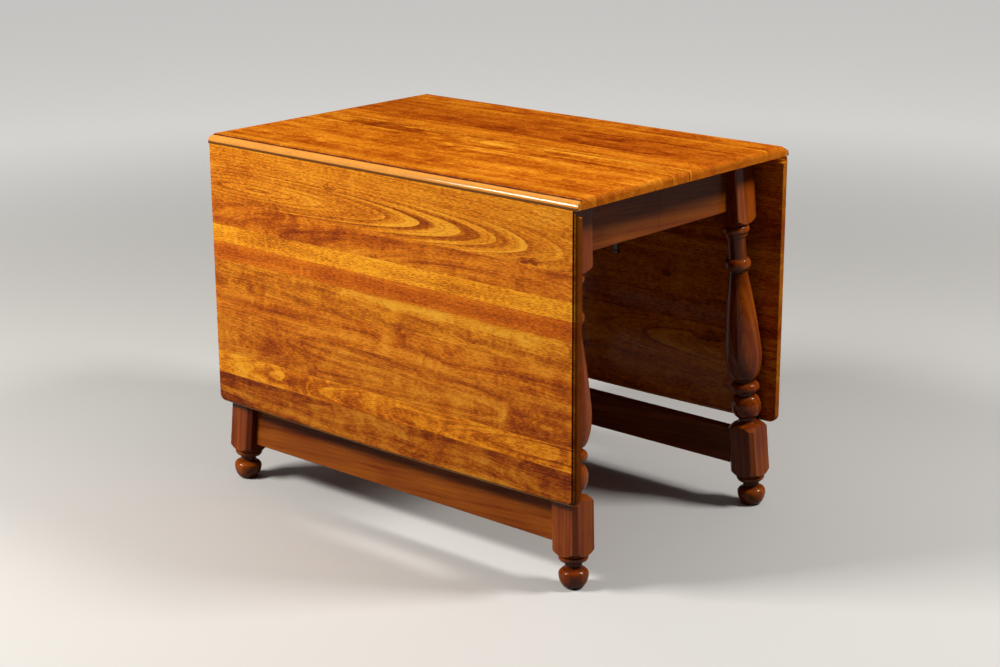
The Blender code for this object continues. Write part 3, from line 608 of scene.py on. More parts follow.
brace_wood = planed_wood("planed_wood_upright", "Z")
for half, side in HALVES:
    for hand, end in ENDS:
        x, y = inner_corner
        outline = [(x - BRACE_NEAR, y), (x, y - BRACE_NEAR), (x, y - BRACE_FAR), (x - BRACE_FAR, y)]
        outline = eased([(end * u, side * v) for u, v in outline], PLANED_EASE)
        piece = add_piece(half + "_inner_brace_" + hand, drawn_out(outline, "Z", BRACE_LOWER, apron_top))
        show(piece, brace_wood, half + "_half", "inner_wood", half + "_corner_brace_" + hand)

# Extension slides
# Planed hardwood rails under the top: a grooved rail screwed to each half and a tongued rail that runs
# between the two, once near each end. A bar below ties the two tongued rails, so that they slide as one.
SLIDE_X = 0.22
SLIDE_WIDTH = 0.024
SLIDE_PITCH = 0.0246
SLIDE_REACH = 0.23503
SLIDE_LOWER = 0.7032
SLIDE_MIDDLE = (SLIDE_LOWER + apron_top) / 2
SLIDE_EASE = 0.0010
TONGUE = 0.012
TONGUE_REACH = 0.008
TONGUED_DROP = 0.003
TONGUED_GAP = 0.001
TIE_LOWER = 0.6849
TIE_UPPER = 0.6999
TIE_HALF_WIDTH = 0.0225
TIE_HALF_LENGTH = 0.232
slide_wood = planed_wood("planed_wood_across_the_table", "Y")
tie_wood = planed_wood("planed_wood_along_the_table", "X")


def grooved_rail(centre, inward):
    """Section of a rail with a groove along the side that looks inward, towards the tongued rail."""
    back, face = centre - inward * SLIDE_WIDTH / 2, centre + inward * SLIDE_WIDTH / 2
    floor_of_groove = face - inward * (TONGUE_REACH + FIT_GAP)
    groove = TONGUE / 2 + FIT_GAP
    return [(back, SLIDE_LOWER), (face, SLIDE_LOWER), (face, SLIDE_MIDDLE - groove),
            (floor_of_groove, SLIDE_MIDDLE - groove), (floor_of_groove, SLIDE_MIDDLE + groove),
            (face, SLIDE_MIDDLE + groove), (face, apron_top), (back, apron_top)]


def tongued_rail(centre):
    """Section of a rail with a tongue along each side."""
    half_width, tongue = SLIDE_WIDTH / 2, TONGUE / 2
    reach = half_width + (SLIDE_PITCH - SLIDE_WIDTH) + TONGUE_REACH - FIT_GAP
    right = [(half_width, SLIDE_LOWER - TONGUED_DROP), (half_width, SLIDE_MIDDLE - tongue),
             (reach, SLIDE_MIDDLE - tongue), (reach, SLIDE_MIDDLE + tongue),
             (half_width, SLIDE_MIDDLE + tongue), (half_width, apron_top - TONGUED_GAP)]
    left = [(-u, v) for u, v in reversed(right)]
    return [(centre + u, v) for u, v in right + left]


def add_slide(name, section, body, replaced):
    """A slide rail drawn out from its section."""
    form = drawn_out(eased(section, SLIDE_EASE), "Y", -SLIDE_REACH, SLIDE_REACH)
    show(add_piece(name, form), slide_wood, body, "inner_wood", replaced)


for hand, end in ENDS:
    for half, side in HALVES:
        section = grooved_rail(end * (SLIDE_X - side * SLIDE_PITCH), end * side)
        add_slide(half + "_grooved_rail_" + hand, section, half + "_half", half + "_slide_rail_" + hand)
    section = tongued_rail(end * SLIDE_X)
    add_slide("tongued_rail_" + hand, section, "middle_rails", "middle_slide_rail_" + hand)
tie_section = rectangle(-TIE_HALF_WIDTH, TIE_HALF_WIDTH, TIE_LOWER, TIE_UPPER, PLANED_EASE)
tie_bar = add_piece("tie_bar", drawn_out(tie_section, "X", -TIE_HALF_LENGTH, TIE_HALF_LENGTH))
show(tie_bar, tie_wood, "middle_rails", "inner_wood", "slide_tie_bar")

# Top
# Two halves of narrow boards glued edge to edge, amber stained and satin lacquered. The hinged edge of each
# is worked to the round of a rule joint below a small step, and the ends are rounded over.
TOP_HEIGHT = 0.762
TOP_REACH = 0.5
HINGE_Y = 0.319
HINGE_PLACES = (-0.34006, 0.0, 0.34006)
PIN_HEIGHT = 0.744
JOINT_RADIUS = 0.0145
POCKET_HALF_WIDTH = 0.0262
POCKET_INNER = 0.0072
KNUCKLE_ROOM = 0.0052
SEAM_EASE = 0.0010
END_ROUND = 0.0095
END_EASE = 0.002
KNOT_LENGTH = 0.1
DOWEL_PLACES = (-0.32, 0.0, 0.32)
DOWEL_HEIGHT = 0.75175
DOWEL_BORE = 0.0051
BORE_DEPTH = 0.0225
BORE_START = 0.01
POCKET_LOWER = 0.72
ROUNDING_REACH = 0.4
TOP_BOARDS = [
    (-0.340, (0.98, 0.87, 0.86), -0.20, 0.10, 0.02, 0.30, 0.04, 0.11),
    (-0.281, (0.98, 0.82, 0.80), -0.22, 0.04, -0.05, 0.50, 0.04, 0.62),
    (-0.226, (1.10, 1.02, 1.00), -0.10, 0.12, 0.03, 0.30, 0.05, 0.35),
    (-0.171, (1.00, 0.86, 0.78), -0.14, 0.03, 0.05, 0.40, 0.04, 0.83),
    (-0.113, (1.04, 0.92, 0.88), 0.05, 0.09, -0.02, 0.60, 0.04, 0.27),
    (-0.083, (0.96, 0.82, 0.70), -0.06, 0.05, 0.04, 0.50, 0.04, 0.51),
    (-0.053, (1.02, 0.94, 0.88), -0.03, 0.03, -0.06, 0.60, 0.05, 0.94),
    (0.014, (0.94, 0.76, 0.62), 0.25, 0.10, 0.02, 0.35, 0.04, 0.19),
    (0.079, (0.72, 0.48, 0.34), 0.10, 0.05, 0.05, 0.50, 0.04, 0.73),
    (0.141, (0.73, 0.50, 0.36), 0.16, 0.04, -0.04, 0.50, 0.04, 0.42),
    (0.199, (0.87, 0.69, 0.46), 0.40, 0.12, 0.03, 0.35, 0.04, 0.88),
    (0.258, (0.85, 0.65, 0.46), 0.28, 0.05, 0.05, 0.45, 0.04, 0.05)]
TOP_MARKS = [
    (-0.255, -0.030, 0.150, 0.034, -0.28), (0.330, -0.010, 0.150, 0.040, 0.22),
    (-0.020, -0.118, 0.030, 0.024, -0.25), (0.130, 0.105, 0.060, 0.022, -0.22),
    (0.380, -0.215, 0.030, 0.018, -0.22), (0.060, -0.235, 0.040, 0.018, -0.20),
    (0.200, 0.192, 0.400, 0.008, -0.36), (0.100, 0.082, 0.500, 0.007, -0.28),
    (-0.320, -0.056, 0.200, 0.006, 0.30), (0.340, -0.062, 0.170, 0.009, -0.28),
    (0.000, -0.172, 0.450, 0.007, -0.20), (0.052, -0.098, 0.056, 0.013, 0.26),
    (0.430, -0.148, 0.050, 0.012, -0.25), (-0.310, -0.227, 0.045, 0.011, -0.22)]


def glued_boards(name, axes, face, spread, boards, marks, edge_light_and_shade, lacquer, open_pores, end_stain_and_shade,
                 level):
    """Boards glued edge to edge across the first of two axes; painted shade beside a moulding, painted
    highlight on its round.

    Each board has its lower edge, tint, pith place, pith depth, taper, figure, ring strength and seed. Each
    mark has its place along and across, its length, its breadth, and how much paler it is; a short one is a
    knot, which bends the growth rings. The darkening of the end grain has its strength and its colour: stain,
    and on the leaves painted shade as well. The level is the middle tone of the wood.
    """
    material, shader, place = finish(name)
    along, across = place.part("X"), place.part(axes[0])
    depth = face - abs(place.part(axes[1]))
    low, high = spread
    plan = (across - low) / (high - low)
    spots = [(board[0] - low) / (high - low) for board in boards]
    tint = plan.ramp([(spot, board[1]) for spot, board in zip(spots, boards)], "CONSTANT")
    tree_stops = [(spot, (board[2] + 0.5, board[3], board[4] + 0.5)) for spot, board in zip(spots, boards)]
    look_stops = [(spot, board[5:8]) for spot, board in zip(spots, boards)]
    tree_plan, look_plan = plan.ramp(tree_stops, "CONSTANT"), plan.ramp(look_stops, "CONSTANT")
    figure, ring_strength, seed = (look_plan.part(channel) for channel in ("Red", "Green", "Blue"))
    seed = seed * 30
    lower_edge = plan.ramp([(spot, (spot, spot, spot)) for spot in spots], "CONSTANT").part("Red")
    from_glue = (plan - lower_edge) * (high - low)
    painted_shade, painted_highlight = edge_light_and_shade(*(place.part(axis) for axis in "XYZ"))
    bend = along.noise(along.vector(along * 9 + seed, across * 30, depth * 5), 2.0)
    curl = fibre(along, across, depth, 34, 11, bend * 3 + seed, 2.0, 0.55)
    swirl, stain = along * 0.0, along * 0.0
    for x, z, length, breadth, strength in marks:
        aside = (along - x) / length + (bend - 0.5) * 1.2
        off = (across - z) / breadth + (curl - 0.5) * 1.2
        near = (aside * aside + off * off).smooth(1.0, 0.0)
        stain = stain + near * near * strength
        if length < KNOT_LENGTH:
            swirl = swirl + near
    pith, taper = tree_plan.part("Red") - 0.5, tree_plan.part("Blue") - 0.5
    rings = growth_rings(along, across, depth, pith, tree_plan.part("Green"), taper, seed, figure * 0.030)
    rings = rings + swirl * 0.006
    flat_sawn = abs(across - pith).smooth(0.052, 0.014, 0.35, 1.0)
    season = season_of(rings, seed, 150.0)
    vigour = along.noise(along.vector(rings * 70, seed + 4, 0.0), 1.0).smooth(0.38, 0.62, 0.40, 1.25)
    broad = along.noise(along.vector(rings * 60, seed, 0.0), 2.0, 0.6)
    fine = along.noise(along.vector(rings * 560, seed, along * 2), 2.0, 0.6)
    streaks = along.noise(along.vector(along * 9 + seed, rings * 300, depth * 60), 3.0, 0.6)
    pores = fibre(along, across, depth, 75, 560, seed, 1.0)
    speckle = fibre(along, across, depth, 95, 500, seed, 1.0)
    mottle = fibre(along, across, depth, 11, 44, bend + seed, 2.0, 0.6)
    cloud = fibre(along, across, depth, 3.5, 14, seed)
    lines = ((season.smooth(0.0, 0.95) - 0.5) * 1.2 + (fine - 0.5) * 3.0) * ring_strength * flat_sawn * vigour
    flow = (broad - 0.5) * (figure * 1.1 + 0.15) + (curl - 0.5) * figure * 0.85
    cast = (streaks - 0.5) * 0.60 + (mottle.smooth(0.32, 0.68) - 0.5) * 0.15 + (cloud - 0.5) * 0.60
    grain = lines + flow + cast * (figure * 0.9 + 0.5) + (speckle - 0.5) * 0.80
    tone = level + grain * (1.38 - painted_highlight * 0.80) + stain + (from_glue * 17 - 0.5) * 0.05
    wood = tone.ramp([(0.02, (0.230, 0.034, 0.0008)), (0.30, (0.440, 0.092, 0.0018)),
                      (0.52, (0.680, 0.196, 0.0060)), (0.78, (0.900, 0.345, 0.0170)),
                      (1.0, (1.0, 0.48, 0.042))])
    wood = wood.mix(1.0, wood, tint, "MULTIPLY")
    # Paler and more golden on the round of a moulding: a painted highlight.
    wood = wood.mix(painted_highlight * 0.32, wood, (1.0, 0.60, 0.14, 1.0))
    pore_stain = pores.smooth(0.55, 0.68) * (1.0 - painted_highlight)
    wood = wood.mix(pore_stain * open_pores, wood, (0.180, 0.034, 0.001, 1.0))
    end_grain = abs(place.node("ShaderNodeTexCoord", {}, {}, "Normal").part("X")).smooth(0.18, 0.75)
    # End grain darkened: stain, with painted shade added on the leaves.
    wood = wood.mix(end_grain * end_stain_and_shade[0], wood, end_stain_and_shade[1])
    glue_line = from_glue.smooth(0.0016, 0.0003)
    wood = wood.mix(glue_line * 0.45, wood, (0.090, 0.017, 0.001, 1.0))
    # Near-black in the steps of the mouldings, in the joint and in the seam: painted shade.
    wood = wood.mix(painted_shade, wood, (0.040, 0.007, 0.001, 1.0))
    roughness = 0.34 + streaks * 0.10 + pore_stain * 0.12
    lay(shader, wood, roughness, streaks * 0.25 - pore_stain, bump_depth=0.00010, specular=0.03,
        coat=lacquer, coat_roughness=0.10)
    sealed = (painted_highlight * 0.10 + lacquer) * (1.0 - end_grain)
    sealed.feed(shader, "Coat Weight")
    return material


def top_edges(x, y, z):
    """Painted shade in the step over the rule joint, in the joint and seam; painted highlight on the joint's
    round.
    """
    out = abs(y) - HINGE_Y
    below_face = z.smooth(TOP_HEIGHT - 0.0008, TOP_HEIGHT - 0.0022)
    above_round = z.smooth(TOP_HEIGHT - 0.0060, TOP_HEIGHT - 0.0045)
    step = abs(out).smooth(0.0030, 0.0008) * below_face * above_round
    joint = out.smooth(0.0105, 0.0125) * z.smooth(PIN_HEIGHT + 0.0042, PIN_HEIGHT + 0.0018)
    seam = abs(y).smooth(0.0020, 0.0007)
    shaded_places = y.maths("MAXIMUM", step, y.maths("MAXIMUM", joint, seam))
    # The step, the joint and the seam are darkened as painted shade, and the round is lightened as a painted
    # highlight.
    return shaded_places * 0.85, out.smooth(0.0010, 0.0040)


def rule_edge(side):
    """Section of a top half: flat, a small step down, then the round of the rule joint."""
    seam = SEAM_GAP / 2
    under_edge = math.asin((PIN_HEIGHT - UNDERSIDE) / JOINT_RADIUS)
    outline = [(seam, UNDERSIDE), (seam, TOP_HEIGHT - SEAM_EASE), (seam + SEAM_EASE, TOP_HEIGHT)]
    outline += [(HINGE_Y - 0.0007, TOP_HEIGHT), (HINGE_Y - 0.0002, TOP_HEIGHT - 0.0002),
                (HINGE_Y, TOP_HEIGHT - 0.0007)]
    outline += arc((HINGE_Y, PIN_HEIGHT), JOINT_RADIUS, JOINT_RADIUS, QUARTER, -under_edge, 28)
    return [(side * y, z) for y, z in outline]


def long_section():
    """Section of the whole top along its length: both ends rounded over above, and eased below."""
    centre = (TOP_REACH - END_ROUND, TOP_HEIGHT - END_ROUND)
    right = [(TOP_REACH - END_EASE, UNDERSIDE), (TOP_REACH - END_EASE * 0.3, UNDERSIDE + END_EASE * 0.3)]
    right += arc(centre, END_ROUND, END_ROUND, 0.0, QUARTER, 12)
    return right + [(-x, z) for x, z in reversed(right)]


def block(name, low, high):
    """A plain cutter between two corners."""
    corners = [(low[0], low[1]), (high[0], low[1]), (high[0], high[1]), (low[0], high[1])]
    return add_piece(name, drawn_out(corners, "Z", low[2], high[2]))


top_boards = glued_boards("amber_top_boards", "YZ", TOP_HEIGHT, (-0.34, 0.34), TOP_BOARDS, TOP_MARKS,
                          top_edges, lacquer=0.42, open_pores=0.32,
                          end_stain_and_shade=(0.40, (0.50, 0.12, 0.005, 1.0)), level=0.51)
for half, side in HALVES:
    form = drawn_out(rule_edge(side), "X", -TOP_REACH - SPARE, TOP_REACH + SPARE)
    board = add_piece(half + "_top_half", form)
    end_rounds = add_piece("end_rounds", drawn_out(long_section(), "Y", -ROUNDING_REACH, ROUNDING_REACH))
    cut(board, [end_rounds], "INTERSECT")
    hollows = []
    for x in HINGE_PLACES:
        near, far = sorted((side * (HINGE_Y - POCKET_INNER), side * (HINGE_Y + KNUCKLE_ROOM)))
        hollows.append(block("pocket", (x - POCKET_HALF_WIDTH, near, POCKET_LOWER),
                             (x + POCKET_HALF_WIDTH, far, PIN_HEIGHT + KNUCKLE_ROOM)))
    for x in DOWEL_PLACES:
        ring = arc((x, DOWEL_HEIGHT), DOWEL_BORE, DOWEL_BORE, 0.0, math.tau, 24)[:-1]
        near, far = sorted((-side * BORE_START, side * BORE_DEPTH))
        hollows.append(add_piece("bore", drawn_out(ring, "Y", near, far)))
    cut(board, hollows)
    show(board, top_boards, half + "_half", "board_wood", half + "_top")

# Leaves
# A broad leaf hangs from each hinge line: wide boards glued edge to edge, with a slightly bowed lower edge, a
# step and a round moulded along the lower edge and both ends, and the hollow of the rule joint along the top.
LEAF_INNER = 0.3165
LEAF_OUTER = 0.337
LEAF_REACH = 0.4995
LEAF_LOWER = 0.1785
LEAF_CORNER = 0.016
LEAF_BOW = 0.005
LEAF_ROUND = 0.0065
LEAF_STEP = 0.0028
JOINT_CLEARANCE = 0.0015
CUTTER_REACH = 0.6
CUTTER_NEAR = 0.2
CUTTER_FAR = 0.4
CUTTER_TOP = 0.8
LEAF_END_STAIN_AND_SHADE = (0.150, 0.028, 0.001, 1.0)
FRONT_BOARDS = [
    (0.170, (0.68, 0.53, 0.42), 0.16, 0.05, 0.03, 1.00, 0.14, 0.13),
    (0.246, (1.04, 0.92, 0.56), 0.27, 0.03, -0.06, 0.70, 0.14, 0.57),
    (0.293, (0.87, 0.71, 0.56), 0.33, 0.04, 0.03, 0.60, 0.13, 0.91),
    (0.377, (0.91, 0.72, 0.56), 0.20, 0.09, 0.04, 0.62, 0.10, 0.31),
    (0.439, (0.99, 0.91, 0.72), 0.40, 0.05, 0.06, 0.60, 0.12, 0.76),
    (0.498, (0.95, 0.66, 0.44), 0.22, 0.10, 0.02, 0.18, 0.03, 0.22),
    (0.535, (1.34, 1.52, 1.30), 0.28, 0.12, 0.01, 0.08, 0.03, 0.65),
    (0.572, (0.99, 0.80, 0.62), 0.575, 0.025, -0.10, 0.45, 0.07, 0.44),
    (0.626, (1.05, 0.97, 0.76), 0.662, 0.026, 0.075, 0.17, 0.28, 0.03)]
FRONT_MARKS = [
    (-0.130, 0.698, 0.026, 0.012, -0.30), (0.376, 0.632, 0.020, 0.010, -0.45),
    (0.399, 0.634, 0.018, 0.009, -0.40), (-0.255, 0.372, 0.030, 0.010, 0.30),
    (-0.250, 0.268, 0.060, 0.036, -0.26), (-0.400, 0.333, 0.032, 0.018, -0.22),
    (-0.198, 0.308, 0.026, 0.016, -0.20), (0.375, 0.325, 0.055, 0.030, -0.18),
    (0.020, 0.410, 0.045, 0.028, 0.22), (0.062, 0.430, 0.024, 0.015, -0.24),
    (0.185, 0.415, 0.026, 0.024, -0.22), (0.230, 0.455, 0.060, 0.014, -0.22),
    (-0.380, 0.446, 0.026, 0.013, -0.24), (0.130, 0.270, 0.170, 0.030, 0.18),
    (-0.300, 0.598, 0.190, 0.048, -0.26), (-0.420, 0.680, 0.120, 0.070, -0.10),
    (0.100, 0.660, 0.200, 0.030, 0.10), (0.120, 0.487, 0.500, 0.018, 0.28)]
REAR_BOARDS = [
    (0.170, (0.88, 0.74, 0.62), 0.22, 0.06, -0.04, 0.50, 0.07, 0.71),
    (0.262, (1.04, 0.98, 0.94), 0.31, 0.04, -0.06, 0.30, 0.19, 0.24),
    (0.358, (0.86, 0.66, 0.56), 0.18, 0.10, 0.03, 0.45, 0.04, 0.87),
    (0.407, (0.98, 0.90, 0.82), 0.45, 0.05, 0.05, 0.40, 0.07, 0.52),
    (0.497, (1.08, 1.10, 1.15), 0.25, 0.12, -0.02, 0.25, 0.03, 0.16),
    (0.541, (0.90, 0.74, 0.62), 0.60, 0.05, 0.06, 0.45, 0.07, 0.39),
    (0.631, (1.02, 0.97, 0.92), 0.675, 0.05, -0.05, 0.25, 0.20, 0.98)]
REAR_MARKS = [
    (0.210, 0.452, 0.020, 0.011, -0.5), (-0.310, 0.300, 0.022, 0.012, -0.4),
    (-0.120, 0.585, 0.060, 0.024, 0.22), (0.330, 0.330, 0.050, 0.026, -0.3)]


def leaf_edges(x, y, z):
    """Painted shade in the step beside the moulding of the lower edge and ends; painted highlight on the
    lower round.
    """
    middle = 1.0 - (x / (LEAF_REACH - LEAF_CORNER)) ** 2.0
    from_below = z - LEAF_LOWER + middle * LEAF_BOW
    from_edge = x.maths("MINIMUM", LEAF_REACH - abs(x), from_below)
    beside = abs(from_edge - LEAF_ROUND + 0.0004).smooth(0.0022, 0.0006)
    sunk = LEAF_OUTER - abs(y)
    in_step = sunk.smooth(0.0006, 0.0016) * sunk.smooth(0.008, 0.006)
    # The step is darkened as painted shade, and the lower round is lightened as a painted highlight.
    return beside * in_step * 0.60, from_below.smooth(LEAF_ROUND - 0.0010, LEAF_ROUND - 0.0030)


def leaf_wood(half, boards, marks, end_stain_and_shade_strength):
    """The finish of one leaf."""
    return glued_boards("amber_" + half + "_leaf_boards", "ZY", LEAF_OUTER, (0.17, 0.75), boards, marks,
                        leaf_edges, lacquer=0.14, open_pores=0.34,
                        end_stain_and_shade=(end_stain_and_shade_strength, LEAF_END_STAIN_AND_SHADE), level=0.56)


def leaf_outline(inset):
    """The leaf's face, drawn in by an inset: square at the joint, rounded corners and a bowed lower edge."""
    radius = max(LEAF_CORNER - inset, 0.001)
    reach, lower = LEAF_REACH - inset - radius, LEAF_LOWER + inset
    outline = [(LEAF_REACH - inset, PIN_HEIGHT + SPARE), (inset - LEAF_REACH, PIN_HEIGHT + SPARE)]
    outline += arc((-reach, lower + radius), radius, radius, math.pi, 3 * QUARTER, 8)
    for step in range(1, 24):
        share = step / 12 - 1.0
        outline.append((reach * share, lower - LEAF_BOW * (1.0 - share * share)))
    return outline + arc((reach, lower + radius), radius, radius, 3 * QUARTER, math.tau, 8)


def leaf_edge():
    """Section of the leaf's moulded edge, from its inner face to its outer face: inset and depth."""
    ease = 0.0016
    round_base = LEAF_OUTER - LEAF_STEP - LEAF_ROUND
    points = [(ease, LEAF_INNER), (ease * 0.3, LEAF_INNER + ease * 0.3), (0.0, LEAF_INNER + ease)]
    points += arc((LEAF_ROUND, round_base), LEAF_ROUND, LEAF_ROUND, math.pi, QUARTER, 8)
    points += [(LEAF_ROUND + 0.0003, LEAF_OUTER - 0.0009), (LEAF_ROUND + 0.0006, LEAF_OUTER - 0.0003),
               (LEAF_ROUND + 0.0012, LEAF_OUTER)]
    return points


def moulded_leaf(side):
    """A leaf before its joint is cut: its outline, drawn in step by step along the section of its edge."""
    form = bmesh.new()
    loops = [[form.verts.new((x, side * y, z)) for x, z in leaf_outline(inset)] for inset, y in leaf_edge()]
    bridge(form, loops)
    form.faces.new(loops[0])
    form.faces.new(loops[-1])
    return form


# The front leaf's ends are darkened more than the rear leaf's: painted shade on top of the end-grain stain.
leaf_finish = {"front": leaf_wood("front", FRONT_BOARDS, FRONT_MARKS, 0.92),
               "rear": leaf_wood("rear", REAR_BOARDS, REAR_MARKS, 0.50)}
for half, side in HALVES:
    board = add_piece(half + "_drop_leaf", moulded_leaf(side))
    near, far = sorted((side * CUTTER_NEAR, side * CUTTER_FAR))
    above = block("above", (-CUTTER_REACH, near, PIN_HEIGHT - JOINT_CLEARANCE),
                  (CUTTER_REACH, far, CUTTER_TOP))
    radius = JOINT_RADIUS + JOINT_CLEARANCE
    circle = arc((side * HINGE_Y, PIN_HEIGHT), radius, radius, 0.0, math.tau, 96)[:-1]
    hollow = add_piece("hollow", drawn_out(circle, "X", -CUTTER_REACH, CUTTER_REACH))
    cut(board, [above, hollow])
    show(board, leaf_finish[half], half + "_leaf", "board_wood", half + "_leaf")

# Seam dowels
# Three fluted dowels of plain wood, glued into the front half, that line up the seam when the halves are
# pushed together. Their ends are chamfered to find the holes in the rear half.
DOWEL_RADIUS = 0.0048
DOWEL_TIP = 0.0034
DOWEL_HALF_LENGTH = 0.022
DOWEL_CHAMFER = 0.0016
DOWEL_SEGMENTS = 40
FLUTE_BASE = 0.004
FLUTE_SHARE = 0.93
TURN_SEED = 7


def set_at_places():
    """Geometry Nodes that set an item at each of some points, turned to face the way its point says."""
    places, item, turn, material = new_tree("set_at_places", "Items", ("Geometry", "Places"),
                                            ("Object", "Item"), ("Float", "Turn"), ("Material", "Finish"))
    facing = places.node("GeometryNodeInputNamedAttribute", {"data_type": "FLOAT_VECTOR"}, {"Name": "facing"})
    upright = facing.node("FunctionNodeAlignRotationToVector", {"axis": "Z"}, {"Vector": facing})
    chance = facing.node("FunctionNodeRandomValue", {"data_type": "FLOAT"}, {"Seed": TURN_SEED}, "Value")
    spin = chance.vector(0.0, 0.0, chance * turn)
    spun = spin.node("FunctionNodeEulerToRotation", {}, {0: spin})
    way = spun.node("FunctionNodeRotateRotation", {"rotation_space": "LOCAL"},
                    {"Rotation": upright, "Rotate By": spun})
    form = item.node("GeometryNodeObjectInfo", {}, {"Object": item}, "Geometry")
    placed = form.node("GeometryNodeInstanceOnPoints", {},
                       {"Points": places, "Instance": form, "Rotation": way})
    return end_tree(placed, material)


def set_items(name, places, item, turn, material):
    """One mesh of like items: each place is a point and the way that the item there faces."""
    mesh = bpy.data.meshes.new(name)
    mesh.from_pydata([point for point, facing in places], [], [])
    ways = mesh.attributes.new("facing", "FLOAT_VECTOR", "POINT")
    for index, (point, facing) in enumerate(places):
        ways.data[index].vector = facing
    return grow(name, mesh, places_tree, Item=item, Turn=turn, Finish=material)


places_tree = set_at_places()
half_dowel = [(DOWEL_RADIUS, DOWEL_HALF_LENGTH - DOWEL_CHAMFER), (DOWEL_TIP, DOWEL_HALF_LENGTH),
              (0.0, DOWEL_HALF_LENGTH)]
other_half = [(radius, -height) for radius, height in reversed(half_dowel)]
dowel = turned("dowel", other_half + half_dowel, DOWEL_SEGMENTS, slide_wood)
for vert in dowel.data.vertices:
    flute = round(math.atan2(vert.co.y, vert.co.x) / math.tau * DOWEL_SEGMENTS) % 2
    if flute and Vector(vert.co[:2]).length > FLUTE_BASE:
        vert.co.x *= FLUTE_SHARE
        vert.co.y *= FLUTE_SHARE
dowel_places = [((x, 0.0, DOWEL_HEIGHT), (0.0, 1.0, 0.0)) for x in DOWEL_PLACES]
dowels = set_items("fluted_dowels", dowel_places, dowel, 0.0, slide_wood)
show(dowels, slide_wood, "front_half", "inner_wood", "seam_dowel_1", "seam_dowel_2", "seam_dowel_3",
     crease=15)
bpy.data.objects.remove(dowel)

# Hinges and stays
# Three drop-leaf hinges under each hinge line, each of two flaps and a pin, and two swinging stays on each
# long apron. Stamped and turned mild steel, dull, a little tarnished.


def dull_steel():
    """Dark mild steel, unevenly tarnished, with fine rolling marks."""
    material, shader, place = finish("dull_tarnished_steel")
    x, y, z = (place.part(axis) for axis in "XYZ")
    marks = fibre(x, y, z, 60, 1400)
    patches = fibre(x, y, z, 130, 130, 0.0, 4.0, 0.65)
    tarnish = patches.smooth(0.46, 0.68)
    steel = patches.ramp([(0.25, (0.085, 0.078, 0.070)), (0.75, (0.165, 0.155, 0.140))])
    steel = steel.mix(tarnish * 0.55, steel, (0.060, 0.036, 0.020, 1.0))
    roughness = 0.30 + marks * 0.14 + tarnish * 0.26
    lay(shader, steel, roughness, marks * 0.5 - tarnish * 0.6, bump_depth=0.00008, specular=0.5)
    shader.inputs["Metallic"].default_value = 1.0
    return material


def dress(node, material):
    """Give a solid of the frame its finish."""
    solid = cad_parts[node]
    if not solid.material_slots:
        solid.data.materials.append(material)
    for place in solid.material_slots:
        place.link = "OBJECT"
        place.material = material


steel = dull_steel()
for half, side in HALVES:
    for place in ("left", "middle", "right"):
        for part in ("top_flap", "leaf_flap", "pin"):
            dress(half + "_hinge_" + place + "_" + part, steel)
    for hand, end in ENDS:
        dress(half + "_stay_bracket_" + hand, steel)
        dress(half + "_stay_arm_" + hand, steel)

# Screws
# Slotted countersunk screws hold the hinges, the stays, the slides and the braces. Their heads stand a little
# proud, and no two slots point the same way.
SCREW_RADIUS = 0.0040
SCREW_RISE = 0.0008
SCREW_SEGMENTS = 28
SLOT_HALF_WIDTH = 0.00055
SLOT_FLOOR = -0.0002
SLOT_REACH = 0.01
TOP_FLAP_UNDERSIDE = 0.7392
TOP_FLAP_SCREWS = ((-0.017, 0.2900), (0.017, 0.2900), (0.0, 0.3010))
LEAF_FLAP_FACE = 0.3142
LEAF_FLAP_SCREWS = ((-0.016, 0.682), (0.016, 0.682), (0.0, 0.702), (0.016, 0.722), (-0.016, 0.722))
STAY_PLATE_FACE = 0.27233
STAY_X = 0.10
STAY_SCREWS = ((-0.015, 0.679), (-0.015, 0.721), (0.015, 0.679), (0.015, 0.721))
SLIDE_SCREWS = (0.055, 0.135, 0.215)
BRACE_SCREWS = (-0.018, 0.018)
BRACE_SCREW_HEIGHT = 0.698
TIE_SCREWS = (-0.012, 0.012)
screw_profile = [(0.0, -0.0020), (0.0022, -0.0020), (SCREW_RADIUS, -0.0003), (SCREW_RADIUS, 0.0001),
                 (0.0037, 0.0003), (0.0028, 0.0006), (0.0014, SCREW_RISE), (0.0, SCREW_RISE)]
screw = turned("screw", screw_profile, SCREW_SEGMENTS, steel)
slot = block("slot", (-SLOT_REACH, -SLOT_HALF_WIDTH, SLOT_FLOOR), (SLOT_REACH, SLOT_HALF_WIDTH, SLOT_REACH))
cut(screw, [slot])


def add_screws(name, places, body):
    """The screws of one body, each with its slot turned its own way."""
    show(set_items(name, places, screw, math.tau, steel), steel, body, "hinge_steel")


for half, side in HALVES:
    half_places = [((x + aside, side * y, TOP_FLAP_UNDERSIDE), (0, 0, -1))
                   for x in HINGE_PLACES for aside, y in TOP_FLAP_SCREWS]
    leaf_places = [((x + aside, side * LEAF_FLAP_FACE, z), (0, -side, 0))
                   for x in HINGE_PLACES for aside, z in LEAF_FLAP_SCREWS]
    for hand, end in ENDS:
        half_places += [((end * STAY_X + aside, side * STAY_PLATE_FACE, z), (0, side, 0))
                        for aside, z in STAY_SCREWS]
        half_places += [((end * (SLIDE_X - side * SLIDE_PITCH), side * y, SLIDE_LOWER), (0, 0, -1))
                        for y in SLIDE_SCREWS]
        x, y = (place - BRACE_FAR / 2 for place in inner_corner)
        half_places += [((end * (x + aside), side * (y - aside), BRACE_SCREW_HEIGHT), (-end, -side, 0))
                        for aside in BRACE_SCREWS]
    add_screws(half + "_half_screws", half_places, half + "_half")
    add_screws(half + "_leaf_screws", leaf_places, half + "_leaf")
tie_places = [((end * SLIDE_X, y, TIE_LOWER), (0, 0, -1)) for hand, end in ENDS for y in TIE_SCREWS]
add_screws("tie_bar_screws", tie_places, "middle_rails")
bpy.data.objects.remove(screw)

